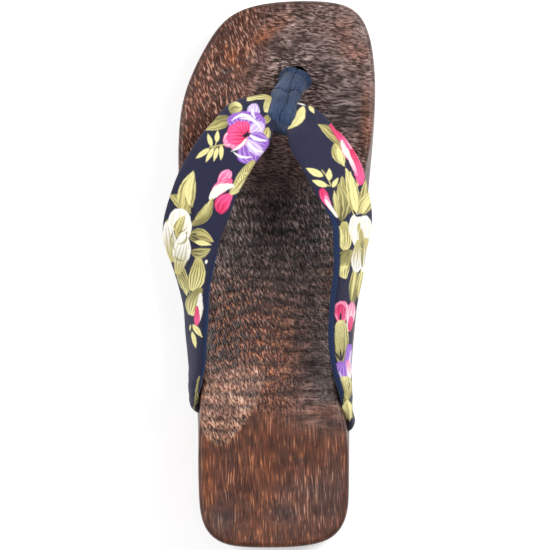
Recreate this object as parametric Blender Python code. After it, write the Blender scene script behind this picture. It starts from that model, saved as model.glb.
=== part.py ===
"""A left geta sandal: a foot-shaped wooden base on two rubber treads, a padded strap and its toe loop.

Metres, +Z up. +Y runs from the heel to the toe, and +X to the inner, big toe side of a left foot.
The origin is on the ground under the heel seat, in the middle of the heel tread.
"""

import math

import bmesh
import bpy
import numpy as np

MM = 0.001

# Wooden base
LENGTH = 240 * MM  # heel back to toe tip
HEEL_BACK = 34 * MM  # from the origin back to the heel's end
BALL_WIDTH = 86.4 * MM
WAIST_WIDTH = 62 * MM
HEEL_WIDTH = 66 * MM
HEEL_HEIGHT = 42 * MM  # footbed above the ground at the heel seat
BALL_HEIGHT = 27 * MM  # footbed above the ground under the ball of the foot
HEEL_RIM_LIFT = 1.8 * MM  # the heel cup's back edge above its seat
TOE_LIFT = 3.2 * MM  # the toe end above the ball
TOE_SPRING = 7 * MM  # the underside's rise at the toe end
ARCH_RISE = 11 * MM  # height of the gap under the waist, above the treads' top
FOOTBED_DISH = 2.6 * MM  # hollow of the footbed below its long edges
TOP_EDGE_RADIUS = 2.2 * MM
LOW_EDGE_RADIUS = 2.0 * MM

# Rubber treads
TREAD_THICKNESS = 5 * MM
TREAD_INSET = 1.2 * MM  # the tread's edge inside the wood's edge
GROOVE_DEPTH = 1.6 * MM
GROOVE_WIDTH = 2.2 * MM
RIB_WIDTH = 5.2 * MM
GROOVE_SLOPE = 0.5 * MM  # width of each groove's slanted wall

# Padded strap
STRAP_WIDTH = 31 * MM
STRAP_THICKNESS = 6 * MM
STRAP_RISE = 33 * MM  # height of the strap's middle above the footbed, at its highest
STRAP_END_WIDTH = 9 * MM
STRAP_END_THICKNESS = 4.6 * MM
STRAP_END_LEAN = 90  # degrees, so that it stands on its edge in the wood

# Toe loop
LOOP_WIDTH = 14.2 * MM
LOOP_WALL = 3.4 * MM  # cloth over and under the strap
LOOP_TAIL = 4.6 * MM  # cloth behind the strap's back edge
TOE_HOLE_RADIUS = 6.6 * MM
TOE_HOLE_FROM_TIP = 33 * MM  # toe tip to the hole's centre
TOE_HOLE_ACROSS = 9.3 * MM  # from the shoe's long axis to the inner side
LOOP_SETBACK = 18.5 * MM  # the strap's bend behind the toe hole
LOOP_SIDESTEP = 7 * MM  # and to its outer side
LOOP_RISE = 22.5 * MM  # and above the footbed

GAP = 0.3 * MM  # between pieces that meet
LOOP_CLEARANCE = 0.6 * MM  # between the strap and the toe loop round it

OUTLINE_SAMPLES = 44  # on each side, from heel to toe
SPINE_INSET = 0.14  # share of the length between each end of the wood and the innermost ring of its faces
SPINE_BEND = 0.9  # share of the outline's sideways bend that this ring follows
FOOTBED_RINGS = (0, 0.2, 0.42, 0.62, 0.78, 0.9, 1)  # from the spine out to the rounded edge
TOP_EDGE_TURNS = (30, 60, 90)  # degrees round the top edge
WALL_RINGS = (0.25, 0.5, 0.75, 1)  # down the side
LOW_EDGE_TURNS = (45, 90)  # degrees round the low edge
UNDERSIDE_RINGS = (0.66, 0.33, 0)  # from the low edge back in to the spine
TREAD_COLUMNS = 7

# Edge of the footbed ("top") and of the widest level below it ("low"), across the shoe from its long axis,
# as shares of the width that the row follows; along is a share of the length from the heel's back.
OUTER_EDGE = (
    # follows, along, top, low
    (HEEL_WIDTH, 0.003, -0.270, -0.270),
    (HEEL_WIDTH, 0.013, -0.380, -0.380),
    (HEEL_WIDTH, 0.031, -0.450, -0.450),
    (HEEL_WIDTH, 0.062, -0.493, -0.493),
    (HEEL_WIDTH, 0.114, -0.508, -0.508),
    (HEEL_WIDTH, 0.196, -0.508, -0.512),
    (WAIST_WIDTH, 0.285, -0.521, -0.560),
    (WAIST_WIDTH, 0.390, -0.535, -0.615),
    (BALL_WIDTH, 0.516, -0.436, -0.472),
    (BALL_WIDTH, 0.636, -0.479, -0.488),
    (BALL_WIDTH, 0.727, -0.491, -0.493),
    (BALL_WIDTH, 0.810, -0.471, -0.473),
    (BALL_WIDTH, 0.870, -0.417, -0.419),
    (BALL_WIDTH, 0.929, -0.331, -0.333),
    (BALL_WIDTH, 0.970, -0.234, -0.235),
    (BALL_WIDTH, 0.992, -0.092, -0.092),
)
INNER_EDGE = (
    # follows, along, top, low
    (HEEL_WIDTH, 0.003, 0.190, 0.190),
    (HEEL_WIDTH, 0.015, 0.353, 0.353),
    (HEEL_WIDTH, 0.037, 0.440, 0.440),
    (HEEL_WIDTH, 0.071, 0.483, 0.484),
    (HEEL_WIDTH, 0.123, 0.490, 0.494),
    (HEEL_WIDTH, 0.201, 0.480, 0.496),
    (WAIST_WIDTH, 0.291, 0.450, 0.535),
    (WAIST_WIDTH, 0.397, 0.450, 0.565),
    (BALL_WIDTH, 0.544, 0.392, 0.447),
    (BALL_WIDTH, 0.690, 0.463, 0.486),
    (BALL_WIDTH, 0.755, 0.494, 0.502),
    (BALL_WIDTH, 0.822, 0.509, 0.511),
    (BALL_WIDTH, 0.883, 0.504, 0.506),
    (BALL_WIDTH, 0.941, 0.476, 0.477),
    (BALL_WIDTH, 0.978, 0.417, 0.418),
    (BALL_WIDTH, 0.995, 0.321, 0.321),
)
HEEL_END = -0.027  # the outline's rearmost point, as a share of the heel's width
TOE_END = 0.127  # its foremost point, as a share of the ball's width

# Where the footbed and the underside change level, as shares of the length from the heel's back.
SEAT_END, BALL_START = 0.20, 0.68
TOE_LIFT_START = 0.76
ARCH_START, ARCH_TOP_START, ARCH_TOP_END, ARCH_END = 0.285, 0.355, 0.500, 0.570
TOE_SPRING_START = 0.80
HEEL_TREAD_START, HEEL_TREAD_END = 0.0065, 0.272
FOREFOOT_TREAD_START, FOREFOOT_TREAD_END = 0.583, 0.978
HEEL_ROUNDED = (0.009, 0.013, 0.020, 0.030, 0.044)
TOE_ROUNDED = (0.880, 0.905, 0.930, 0.950, 0.966)

# Middle line of the strap from its outer end to the toe loop. along is a share of the way from the heel's back
# to the strap's bend in that loop, in a share of the ball's width inwards from the footbed's edge, rise a share
# of the strap's rise above the footbed, width and thickness shares of the strap's own, and lean the turn in
# degrees that lifts the edge next to the instep.
OUTER_STRAP = (
    # along, in, rise, width, thickness, lean
    (0.356, -0.036, -0.32, 0.36, 0.76, 88),
    (0.381, -0.036, -0.14, 0.44, 0.84, 84),
    (0.415, -0.028, 0.04, 0.52, 0.90, 76),
    (0.471, -0.020, 0.25, 0.58, 0.94, 68),
    (0.545, -0.003, 0.49, 0.66, 0.96, 65),
    (0.599, 0.005, 0.65, 0.74, 0.98, 60),
    (0.666, 0.020, 0.82, 0.84, 1.00, 44),
    (0.723, 0.038, 0.92, 0.92, 1.00, 26),
    (0.775, 0.081, 0.98, 0.97, 1.00, 20),
    (0.833, 0.148, 1.00, 1.00, 1.00, 17),
    (0.900, 0.236, 0.96, 0.99, 1.00, 16),
    (0.960, 0.341, 0.87, 0.90, 1.02, 22),
    (0.999, 0.449, 0.76, 0.54, 1.00, 36),
)
INNER_STRAP = (
    # along, in, rise, width, thickness, lean
    (0.317, -0.026, -0.33, 0.36, 0.74, 88),
    (0.347, -0.033, -0.17, 0.42, 0.80, 82),
    (0.381, -0.035, -0.02, 0.48, 0.88, 74),
    (0.429, -0.023, 0.15, 0.55, 0.92, 66),
    (0.491, -0.015, 0.33, 0.61, 0.94, 62),
    (0.572, -0.008, 0.57, 0.69, 0.96, 58),
    (0.638, -0.008, 0.74, 0.77, 0.98, 58),
    (0.699, 0.005, 0.87, 0.85, 1.00, 57),
    (0.754, 0.020, 0.96, 0.92, 1.00, 53),
    (0.808, 0.069, 1.00, 0.97, 1.00, 48),
    (0.861, 0.140, 1.00, 1.00, 1.00, 43),
    (0.912, 0.223, 0.94, 0.93, 1.00, 40),
    (0.946, 0.295, 0.88, 0.80, 1.00, 38),
    (0.983, 0.370, 0.74, 0.54, 1.00, 40),
)
BEND_WIDTH, BEND_THICKNESS, BEND_LEAN = 0.30, 1.05, 38  # the strap inside the toe loop
OUTER_HOLE_ALONG, INNER_HOLE_ALONG = 0.328, 0.286  # where the strap passes the wood's side
HOLE_DROP = 17 * MM  # from the footbed down to the middle of each side hole
HOLE_OUT = 1.3 * MM  # middle of the strap outside the footbed's edge, there
HOLE_REACH = 9 * MM  # length of the strap's end inside the wood
HOLE_FALL = 7 * MM  # and how far it drops on the way
HOLE_BACK = 3 * MM  # and how far it runs back

# The toe loop's outer form. side, back and rise are shares of the way from the toe hole at the footbed to the
# strap's bend, past is a share of the way from there over the strap to the loop's end, and width and thickness
# are shares of the loop's own.
LOOP_FORM = (
    # side, back, rise, past, width, thickness
    (0.00, 0.00, -0.70, 0.00, 0.76, 0.62),
    (0.00, 0.00, -0.17, 0.00, 0.80, 0.63),
    (0.22, 0.14, 0.20, 0.00, 0.83, 0.66),
    (0.72, 0.50, 0.60, 0.00, 0.90, 0.82),
    (0.97, 0.92, 0.95, 0.00, 0.98, 1.00),
    (1.00, 1.00, 1.00, 0.55, 1.00, 0.90),
    (1.00, 1.00, 1.00, 0.88, 0.92, 0.64),
    (1.00, 1.00, 1.00, 1.00, 0.74, 0.38),
)

STRAP_STATIONS = 72
STRAP_SIDES = 16
LOOP_STATIONS = 30
LOOP_SIDES = 18
SIDE_HOLE_SPAN = 0.36  # share of the strap's path that cuts the wood, at each end
TUNNEL_SPAN = 0.09  # share of it on each side of the bend that cuts the toe loop
SECTION_POWER = 2.4  # 2 is an ellipse, more is squarer


def cubic_through(knots, values, places, closed=False):
    """The smooth cubic curve through the rows at the places, with natural ends or as a closed loop."""
    knots = np.asarray(knots, float)
    values = np.asarray(values, float)
    step = np.diff(knots)
    slope = np.diff(values, axis=0) / step[:, None]
    count = len(knots)
    matrix = np.zeros((count, count))
    right = np.zeros((count, values.shape[1]))
    for i in range(1, count - 1):
        matrix[i, i - 1 : i + 2] = step[i - 1], 2 * (step[i - 1] + step[i]), step[i]
        right[i] = 6 * (slope[i] - slope[i - 1])
    if closed:
        matrix[0, [0, 1, -2]] = 2 * (step[0] + step[-1]), step[0], step[-1]
        right[0] = 6 * (slope[0] - slope[-1])
        matrix[-1, [0, -1]] = 1, -1
    else:
        matrix[0, 0] = matrix[-1, -1] = 1
    bend = np.linalg.solve(matrix, right)
    places = np.asarray(places, float)
    i = np.clip(np.searchsorted(knots, places) - 1, 0, count - 2)
    h = step[i][:, None]
    a = (knots[i + 1] - places)[:, None] / h
    b = 1 - a
    bent = ((a**3 - a) * bend[i] + (b**3 - b) * bend[i + 1]) * h**2 / 6
    return a * values[i] + b * values[i + 1] + bent


def smooth_step(low, high, value):
    """0 below low, 1 above high, and an even curve between them."""
    share = np.clip((value - low) / (high - low), 0, 1)
    return share * share * (3 - 2 * share)


def along_to_y(along):
    """Y of a share of the length."""
    return np.asarray(along) * LENGTH - HEEL_BACK


def y_to_along(y):
    """Share of the length at Y."""
    return (np.asarray(y) + HEEL_BACK) / LENGTH


def chord_knots(points, power=0.5):
    """Running knots from the distances between points."""
    return np.concatenate([[0], np.cumsum(np.linalg.norm(np.diff(points, axis=0), axis=1) ** power)])


def outline():
    """The wood's plan outline as four arrays of (x, y) from heel to toe: outer and inner side, each at its top
    and low level. The two sides hold the same number of points, an even arc length apart."""
    rows = [(HEEL_WIDTH, 0.0, HEEL_END, HEEL_END), *OUTER_EDGE, (BALL_WIDTH, 1.0, TOE_END, TOE_END)]
    rows += [*INNER_EDGE[::-1], (HEEL_WIDTH, 0.0, HEEL_END, HEEL_END)]
    top = np.array([(width * top, along_to_y(along)) for width, along, top, low in rows])
    low = np.array([(width * low, along_to_y(along)) for width, along, top, low in rows])
    knots = chord_knots(low)
    toe = len(OUTER_EDGE) + 1
    sides = []
    for start, end in ((0, toe), (len(rows) - 1, toe)):
        fine = np.linspace(knots[start], knots[end], 800)
        curve = cubic_through(knots, low, fine, closed=True)
        arc = chord_knots(curve, power=1)
        even = np.linspace(0, arc[-1], OUTLINE_SAMPLES + 1)
        places = np.interp(even, arc, fine)
        sides.append([cubic_through(knots, level, places, closed=True) for level in (top, low)])
    (outer_top, outer_low), (inner_top, inner_low) = sides
    return outer_top, inner_top, outer_low, inner_low


def loop_of(outer, inner):
    """One closed ring of points: up the outer side from heel to toe, and back down the inner side."""
    return np.concatenate([outer, inner[-2:0:-1]])


def inward_normals(ring):
    """Unit plan normals of a closed ring that runs clockwise seen from above, pointing inwards."""
    tangent = np.roll(ring, -1, axis=0) - np.roll(ring, 1, axis=0)
    tangent /= np.linalg.norm(tangent, axis=1)[:, None]
    return np.column_stack([tangent[:, 1], -tangent[:, 0]])


def edge_x(edge, y):
    """X of one side's edge at Y."""
    return np.interp(y, edge[:, 1], edge[:, 0])


def footbed_level(y):
    """Height of the footbed's lengthwise middle at Y, without its dish."""
    along = y_to_along(y)
    level = BALL_HEIGHT + (HEEL_HEIGHT - BALL_HEIGHT) * (1 - smooth_step(SEAT_END, BALL_START, along))
    level = level + HEEL_RIM_LIFT * np.clip(1 - along / (SEAT_END / 2), 0, 1) ** 2
    return level + TOE_LIFT * np.clip((along - TOE_LIFT_START) / (1 - TOE_LIFT_START), 0, 1) ** 2


def underside_level(y):
    """Height of the wood's underside at Y: flat over the treads, arched at the waist, sprung at the toe."""
    along = y_to_along(y)
    arch = smooth_step(ARCH_START, ARCH_TOP_START, along) * (1 - smooth_step(ARCH_TOP_END, ARCH_END, along))
    spring = np.clip((along - TOE_SPRING_START) / (1 - TOE_SPRING_START), 0, 1) ** 2
    return TREAD_THICKNESS + GAP + ARCH_RISE * arch + TOE_SPRING * spring


def add_object(name, vertices, faces, material, smooth_degrees=40):
    """A mesh object from vertex positions and faces, shaded smooth below the given edge angle."""
    mesh = bpy.data.meshes.new(name)
    mesh.from_pydata([tuple(v) for v in vertices], [], [tuple(int(i) for i in f) for f in faces])
    tidy = bmesh.new()
    tidy.from_mesh(mesh)
    bmesh.ops.remove_doubles(tidy, verts=tidy.verts, dist=0.02 * MM)
    bmesh.ops.recalc_face_normals(tidy, faces=tidy.faces)
    tidy.to_mesh(mesh)
    tidy.free()
    mesh.shade_smooth()
    mesh.set_sharp_from_angle(angle=math.radians(smooth_degrees))
    mesh.materials.append(material)
    thing = bpy.data.objects.new(name, mesh)
    bpy.context.scene.collection.objects.link(thing)
    return thing


def ring_faces(rings, size):
    """Quads between successive closed rings of equal size."""
    faces = []
    for r in range(rings - 1):
        for k in range(size):
            n = (k + 1) % size
            faces.append((r * size + k, r * size + n, (r + 1) * size + n, (r + 1) * size + k))
    return faces


def make_base(material):
    """The wooden body: closed rings from the footbed's spine out to the edge, down the side and in below."""
    outer_top, inner_top, outer_low, inner_low = outline()
    top_ring, low_ring = loop_of(outer_top, inner_top), loop_of(outer_low, inner_low)
    top_in = top_ring + inward_normals(top_ring) * TOP_EDGE_RADIUS
    low_in = low_ring + inward_normals(low_ring) * LOW_EDGE_RADIUS
    middle = (outer_low + inner_low) / 2
    spine_y = along_to_y(SPINE_INSET + (1 - 2 * SPINE_INSET) * y_to_along(middle[:, 1]))
    spine = np.column_stack([middle[:, 0] * SPINE_BEND, spine_y])
    spine_ring = loop_of(spine, spine)

    rings = []
    for share in FOOTBED_RINGS:
        plan = spine_ring + (top_in - spine_ring) * share
        rise = footbed_level(plan[:, 1]) - FOOTBED_DISH * (1 - share**2)
        rings.append(np.column_stack([plan, rise]))
    edge_level = footbed_level(top_in[:, 1])
    for turn in np.radians(TOP_EDGE_TURNS):
        plan = top_in + (top_ring - top_in) * math.sin(turn)
        rings.append(np.column_stack([plan, edge_level - TOP_EDGE_RADIUS * (1 - math.cos(turn))]))
    wall_top = edge_level - TOP_EDGE_RADIUS
    wall_foot = underside_level(low_in[:, 1]) + LOW_EDGE_RADIUS
    for share in WALL_RINGS:
        spread = math.sin(share * math.pi / 2)
        plan = top_ring + (low_ring - top_ring) * spread
        rings.append(np.column_stack([plan, wall_top + (wall_foot - wall_top) * share]))
    for turn in np.radians(LOW_EDGE_TURNS):
        plan = low_ring + (low_in - low_ring) * (1 - math.cos(turn))
        rings.append(np.column_stack([plan, wall_foot - LOW_EDGE_RADIUS * math.sin(turn)]))
    for share in UNDERSIDE_RINGS:
        plan = spine_ring + (low_in - spine_ring) * share
        rings.append(np.column_stack([plan, underside_level(plan[:, 1])]))
    size = len(top_ring)
    return add_object("base", np.concatenate(rings), ring_faces(len(rings), size), material)


def tread_rows(start, end, rounded):
    """Cross rows of a tread as (share of the length, depth of groove): plain rows where the outline is rounded,
    and ribs and grooves in turn on the rest."""
    rows = [(along, 0.0) for along in (start, *rounded, end)]
    ribbed_start = max([start, *(along for along in rounded if along < SEAT_END)])
    ribbed_end = min([end, *(along for along in rounded if along > SEAT_END)])
    place = ribbed_start * LENGTH + RIB_WIDTH
    while place + GROOVE_WIDTH + RIB_WIDTH / 2 < ribbed_end * LENGTH:
        for offset, depth in (
            (0, 0),
            (GROOVE_SLOPE, GROOVE_DEPTH),
            (GROOVE_WIDTH - GROOVE_SLOPE, GROOVE_DEPTH),
            (GROOVE_WIDTH, 0),
        ):
            rows.append(((place + offset) / LENGTH, depth))
        place += GROOVE_WIDTH + RIB_WIDTH
    return sorted(rows)


def make_tread(name, start, end, rounded, material):
    """A ribbed rubber plate under the wood between two shares of the length, following its underside."""
    _, _, outer_low, inner_low = outline()
    ring = loop_of(outer_low, inner_low)
    inset = ring + inward_normals(ring) * TREAD_INSET
    half = len(outer_low)
    outer, inner = inset[:half], np.concatenate([inset[:1], inset[: half - 2 : -1]])
    rows = tread_rows(start, end, rounded)
    across = np.linspace(0, 1, TREAD_COLUMNS)
    upper, lower = [], []
    for along, depth in rows:
        y = float(along_to_y(along))
        left, right = edge_x(outer, y), edge_x(inner, y)
        x = left + (right - left) * across
        level = float(underside_level(y)) - GAP
        upper.append(np.column_stack([x, np.full_like(x, y), np.full_like(x, level)]))
        foot = level - TREAD_THICKNESS + depth
        lower.append(np.column_stack([x, np.full_like(x, y), np.full_like(x, foot)]))
    count, width = len(rows), len(across)
    vertices = np.concatenate(upper + lower)

    def quad(*corners):
        return [(level * count + row) * width + column for level, row, column in corners]

    faces = []
    for r in range(count - 1):
        for c in range(width - 1):
            for level in (0, 1):
                corners = (level, r, c), (level, r, c + 1), (level, r + 1, c + 1), (level, r + 1, c)
                faces.append(quad(*corners))
        for c in (0, width - 1):
            faces.append(quad((0, r, c), (0, r + 1, c), (1, r + 1, c), (1, r, c)))
    for r in (0, count - 1):
        for c in range(width - 1):
            faces.append(quad((0, r, c), (0, r, c + 1), (1, r, c + 1), (1, r, c)))
    return add_object(name, vertices, faces, material, smooth_degrees=25)


def toe_hole():
    """Plan centre of the toe hole."""
    return np.array([TOE_HOLE_ACROSS, LENGTH - HEEL_BACK - TOE_HOLE_FROM_TIP])


def strap_bend():
    """Middle of the strap inside the toe loop."""
    x, y = toe_hole() + (-LOOP_SIDESTEP, -LOOP_SETBACK)
    return np.array([x, y, float(footbed_level(y)) + LOOP_RISE])


def strap_along_to_y(along):
    """Y of a share of the way from the heel's back to the strap's bend."""
    return float(along * (strap_bend()[1] + HEEL_BACK) - HEEL_BACK)


def strap_half(rows, edge, inward, hole_along):
    """Middle points and sections of one half of the strap, from its end in the wood to the toe loop."""
    y = strap_along_to_y(hole_along)
    x = edge_x(edge, y)
    level = float(footbed_level(y)) - HOLE_DROP
    end = (STRAP_END_WIDTH, STRAP_END_THICKNESS, STRAP_END_LEAN)
    stations = [
        ((x + inward * HOLE_REACH, y - HOLE_BACK, level - HOLE_FALL), end),
        ((x - inward * HOLE_OUT, y, level), end),
    ]
    for along, inset, rise, width, thickness, lean in rows:
        y = strap_along_to_y(along)
        x = edge_x(edge, y) + inward * inset * BALL_WIDTH
        place = (x, y, float(footbed_level(y)) + rise * STRAP_RISE)
        stations.append((place, (width * STRAP_WIDTH, thickness * STRAP_THICKNESS, lean)))
    return stations


def strap_stations():
    """All stations of the strap from its outer end round the toe loop to its inner end, each a row of
    x, y, z, width, thickness and lean in degrees."""
    outer_top, inner_top, _, _ = outline()
    outer = strap_half(OUTER_STRAP, outer_top, 1, OUTER_HOLE_ALONG)
    inner = strap_half(INNER_STRAP, inner_top, -1, INNER_HOLE_ALONG)
    bend = (strap_bend(), (BEND_WIDTH * STRAP_WIDTH, BEND_THICKNESS * STRAP_THICKNESS, BEND_LEAN))
    return np.array([(*place, *section) for place, section in [*outer, bend, *inner[::-1]]])


def oval_rings(middle, wide, thick, half_width, half_thickness, sides):
    """Closed rings round the middle points: rounded ovals along each point's own wide and thick directions."""
    angle = np.linspace(0, 2 * math.pi, sides, endpoint=False)
    across = np.sign(np.cos(angle)) * np.abs(np.cos(angle)) ** (2 / SECTION_POWER)
    over = np.sign(np.sin(angle)) * np.abs(np.sin(angle)) ** (2 / SECTION_POWER)
    rings = middle[:, None] + (wide * half_width[:, None])[:, None] * across[None, :, None]
    return rings + (thick * half_thickness[:, None])[:, None] * over[None, :, None]


def sweep(stations, places, extra=0.0):
    """Rings of a padded band carried along its stations: each is a rounded oval as wide and thick as its
    station, turned by its lean about the path, and grown by extra."""
    knots = chord_knots(stations[:, :3])
    at = knots[-1] * np.asarray(places)
    values = cubic_through(knots, stations, at)
    delta = knots[-1] * 1e-4
    ahead = cubic_through(knots, stations[:, :3], np.clip(at + delta, 0, knots[-1]))
    behind = cubic_through(knots, stations[:, :3], np.clip(at - delta, 0, knots[-1]))
    tangent = ahead - behind
    tangent /= np.linalg.norm(tangent, axis=1)[:, None]
    level = np.cross(tangent, (0, 0, 1))
    level /= np.linalg.norm(level, axis=1)[:, None]
    up = np.cross(level, tangent)
    lean = np.radians(values[:, 5])[:, None]
    wide = level * np.cos(lean) + up * np.sin(lean)
    thick = up * np.cos(lean) - level * np.sin(lean)
    half_width, half_thickness = values[:, 3] / 2 + extra, values[:, 4] / 2 + extra
    return oval_rings(values[:, :3], wide, thick, half_width, half_thickness, STRAP_SIDES)


def tube_object(name, rings, material):
    """A closed tube through the rings, with flat ends."""
    count, sides = rings.shape[:2]
    faces = ring_faces(count, sides)
    faces.append(tuple(range(sides)))
    faces.append(tuple((count - 1) * sides + k for k in reversed(range(sides))))
    return add_object(name, rings.reshape(-1, 3), faces, material)


def cut(thing, cutter):
    """Cuts the cutter's shape out of a piece and hides the cutter."""
    cutter.hide_render = True
    cutter.display_type = "WIRE"
    modifier = thing.modifiers.new("cut_" + cutter.name, "BOOLEAN")
    modifier.operation = "DIFFERENCE"
    modifier.use_self = True
    modifier.object = cutter


def make_strap(material):
    """The padded strap, one tube from side hole to side hole."""
    return tube_object("strap", sweep(strap_stations(), np.linspace(0, 1, STRAP_STATIONS)), material)


def strap_cutter(name, first, last, extra, material):
    """The strap between two shares of its path, grown by extra on every side."""
    places = np.linspace(0, 1, STRAP_STATIONS)
    rings = sweep(strap_stations(), places[(places >= first) & (places <= last)], extra)
    for end, neighbour in ((0, 1), (-1, -2)):
        step = rings[end].mean(axis=0) - rings[neighbour].mean(axis=0)
        rings[end] += step / np.linalg.norm(step) * extra
    return tube_object(name, rings, material)


def loop_tunnel_cutter(material):
    """The strap's path through the toe loop."""
    knots = chord_knots(strap_stations()[:, :3])
    bend = knots[len(OUTER_STRAP) + 2] / knots[-1]
    return strap_cutter("loop_tunnel", bend - TUNNEL_SPAN, bend + TUNNEL_SPAN, LOOP_CLEARANCE, material)


def loop_stations():
    """Stations of the toe loop's outer form, each a row of x, y, z, width and thickness: up from inside the toe
    hole to the strap's bend, and back over it."""
    hole = np.array([*toe_hole(), float(footbed_level(toe_hole()[1]))])
    bend = strap_bend()
    reach = BEND_WIDTH * STRAP_WIDTH / 2 + LOOP_TAIL
    back = np.array([0, -math.cos(math.radians(BEND_LEAN)), math.sin(math.radians(BEND_LEAN))])
    thickness = BEND_THICKNESS * STRAP_THICKNESS + 2 * LOOP_WALL
    rows = []
    for side, setback, rise, past, wide, thick in LOOP_FORM:
        place = hole + (bend - hole) * (side, setback, rise) + back * reach * past
        rows.append((*place, wide * LOOP_WIDTH, thick * thickness))
    return np.array(rows)


def make_loop(material):
    """The toe loop: a soft stem that widens round the strap's bend, with the strap's shape cut through it."""
    stations = loop_stations()
    knots = chord_knots(stations[:, :3])
    values = cubic_through(knots, stations, np.linspace(0, knots[-1], LOOP_STATIONS))
    tangent = np.gradient(values[:, :3], axis=0)
    tangent /= np.linalg.norm(tangent, axis=1)[:, None]
    side = np.cross((*(strap_bend()[:2] - toe_hole()), 0), (0, 0, 1))
    side = np.tile(side / np.linalg.norm(side), (len(values), 1))
    thick = np.cross(side, tangent)
    rings = oval_rings(values[:, :3], side, thick, values[:, 3] / 2, values[:, 4] / 2, LOOP_SIDES)
    return tube_object("toe_loop", rings, material)


def toe_hole_cutter(material):
    """The round bore that the toe loop goes down."""
    low, high = TREAD_THICKNESS + GAP - 2 * MM, HEEL_HEIGHT + TOE_LIFT
    bpy.ops.mesh.primitive_cylinder_add(vertices=24, radius=TOE_HOLE_RADIUS, depth=high - low)
    cutter = bpy.context.object
    cutter.name = "toe_hole_cutter"
    cutter.location = (*toe_hole(), (low + high) / 2)
    cutter.data.materials.append(material)
    return cutter


def make_material(name, colour, roughness):
    """A Principled surface of one colour."""
    material = bpy.data.materials.new(name)
    material.use_nodes = True
    shader = material.node_tree.nodes["Principled BSDF"]
    shader.inputs["Base Color"].default_value = (*colour, 1)
    shader.inputs["Roughness"].default_value = roughness
    shader.inputs["Metallic"].default_value = 0.0
    return material


def main():
    for thing in list(bpy.data.objects):
        bpy.data.objects.remove(thing)
    wood = make_material("burnt cedar", (0.075, 0.036, 0.024), 0.4)
    rubber = make_material("tread rubber", (0.02, 0.018, 0.017), 0.75)
    cloth = make_material("navy print cloth", (0.022, 0.020, 0.052), 0.8)
    velour = make_material("blue velour", (0.018, 0.045, 0.115), 0.9)

    base = make_base(wood)
    make_tread("heel_tread", HEEL_TREAD_START, HEEL_TREAD_END, HEEL_ROUNDED, rubber)
    make_tread("forefoot_tread", FOREFOOT_TREAD_START, FOREFOOT_TREAD_END, TOE_ROUNDED, rubber)
    make_strap(cloth)
    loop = make_loop(velour)
    cut(base, strap_cutter("outer_side_hole", 0, SIDE_HOLE_SPAN, GAP, wood))
    cut(base, strap_cutter("inner_side_hole", 1 - SIDE_HOLE_SPAN, 1, GAP, wood))
    cut(base, toe_hole_cutter(wood))
    cut(loop, loop_tunnel_cutter(velour))


main()
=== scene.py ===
"""Looks of a left geta sandal: burnt and brushed cedar on rubber treads, a padded strap of printed
navy cloth with a blue lining, and a velour toe loop, on a pale floor.

Metres, +Z up, +Y to the toe, +X to the big toe's side. Shapes repeat the solids' own formulas, so
every piece lies where its solid is, apart from the toe bore, the loop's tail and the strap's easing
beside the loop. Places on the cloth and on the wood's top are read in pixels of the photograph.
"""

import math

import bpy
import numpy as np
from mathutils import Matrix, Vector


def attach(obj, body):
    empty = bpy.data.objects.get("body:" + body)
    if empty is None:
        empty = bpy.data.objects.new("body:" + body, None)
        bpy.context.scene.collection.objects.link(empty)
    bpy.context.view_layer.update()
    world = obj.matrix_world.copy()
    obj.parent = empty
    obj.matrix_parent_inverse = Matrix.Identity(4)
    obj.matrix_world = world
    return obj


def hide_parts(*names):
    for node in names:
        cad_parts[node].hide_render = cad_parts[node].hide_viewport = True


MM = 0.001
PIXEL = 0.43956 * MM  # one pixel of the photograph on the sole
PHOTO_X, PHOTO_Y = 140, 547  # the pixel over the shoe's long axis, and the one over the heel's back
PHOTO_SIZE = 550

LENGTH, HEEL_BACK = 240 * MM, 34 * MM
BALL_WIDTH, WAIST_WIDTH, HEEL_WIDTH = 86.4 * MM, 62 * MM, 66 * MM
HEEL_HEIGHT, BALL_HEIGHT = 42 * MM, 27 * MM
HEEL_RIM_LIFT, TOE_LIFT, TOE_SPRING, ARCH_RISE = 1.8 * MM, 3.2 * MM, 7 * MM, 11 * MM
FOOTBED_DISH, TOP_EDGE_RADIUS, LOW_EDGE_RADIUS = 2.6 * MM, 2.2 * MM, 2.0 * MM
TREAD_THICKNESS, GAP = 5 * MM, 0.3 * MM
STRAP_WIDTH, STRAP_THICKNESS, STRAP_RISE = 31 * MM, 6 * MM, 33 * MM
STRAP_END_WIDTH, STRAP_END_THICKNESS = 9 * MM, 4.6 * MM
LOOP_WIDTH, LOOP_WALL, LOOP_TAIL_SHOWN = 14.2 * MM, 3.4 * MM, 1.0 * MM
TOE_HOLE_FROM_TIP, TOE_HOLE_ACROSS = 33 * MM, 9.3 * MM
LOOP_SETBACK, LOOP_SIDESTEP, LOOP_RISE = 18.5 * MM, 7 * MM, 22.5 * MM
SPINE_INSET, SPINE_BEND = 0.14, 0.9
SEAT_END, BALL_START, TOE_LIFT_START = 0.20, 0.68, 0.76
ARCH_START, ARCH_TOP_START, ARCH_TOP_END, ARCH_END = 0.285, 0.355, 0.500, 0.570
TOE_SPRING_START = 0.80
BEND_WIDTH, BEND_THICKNESS, BEND_LEAN = 0.30, 1.05, 38
OUTER_HOLE_ALONG, INNER_HOLE_ALONG = 0.328, 0.286
HOLE_DROP, HOLE_OUT, HOLE_REACH, HOLE_FALL, HOLE_BACK = 17 * MM, 1.3 * MM, 9 * MM, 7 * MM, 3 * MM
SECTION_POWER = 2.4
HEEL_END, TOE_END = -0.027, 0.127

# Drawn otherwise than in the solids: the toe bore, tight round the velour, and the loop's tail and foot.
BORE_RADIUS, BORE_SETBACK = 5.9 * MM, 1.4 * MM
TAIL_SIDESTEP, TAIL_SLIMMER, TAIL_THICKER, FOOT_SLIMMER = 0.9 * MM, 0.04, 0.22, 0.06

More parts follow.
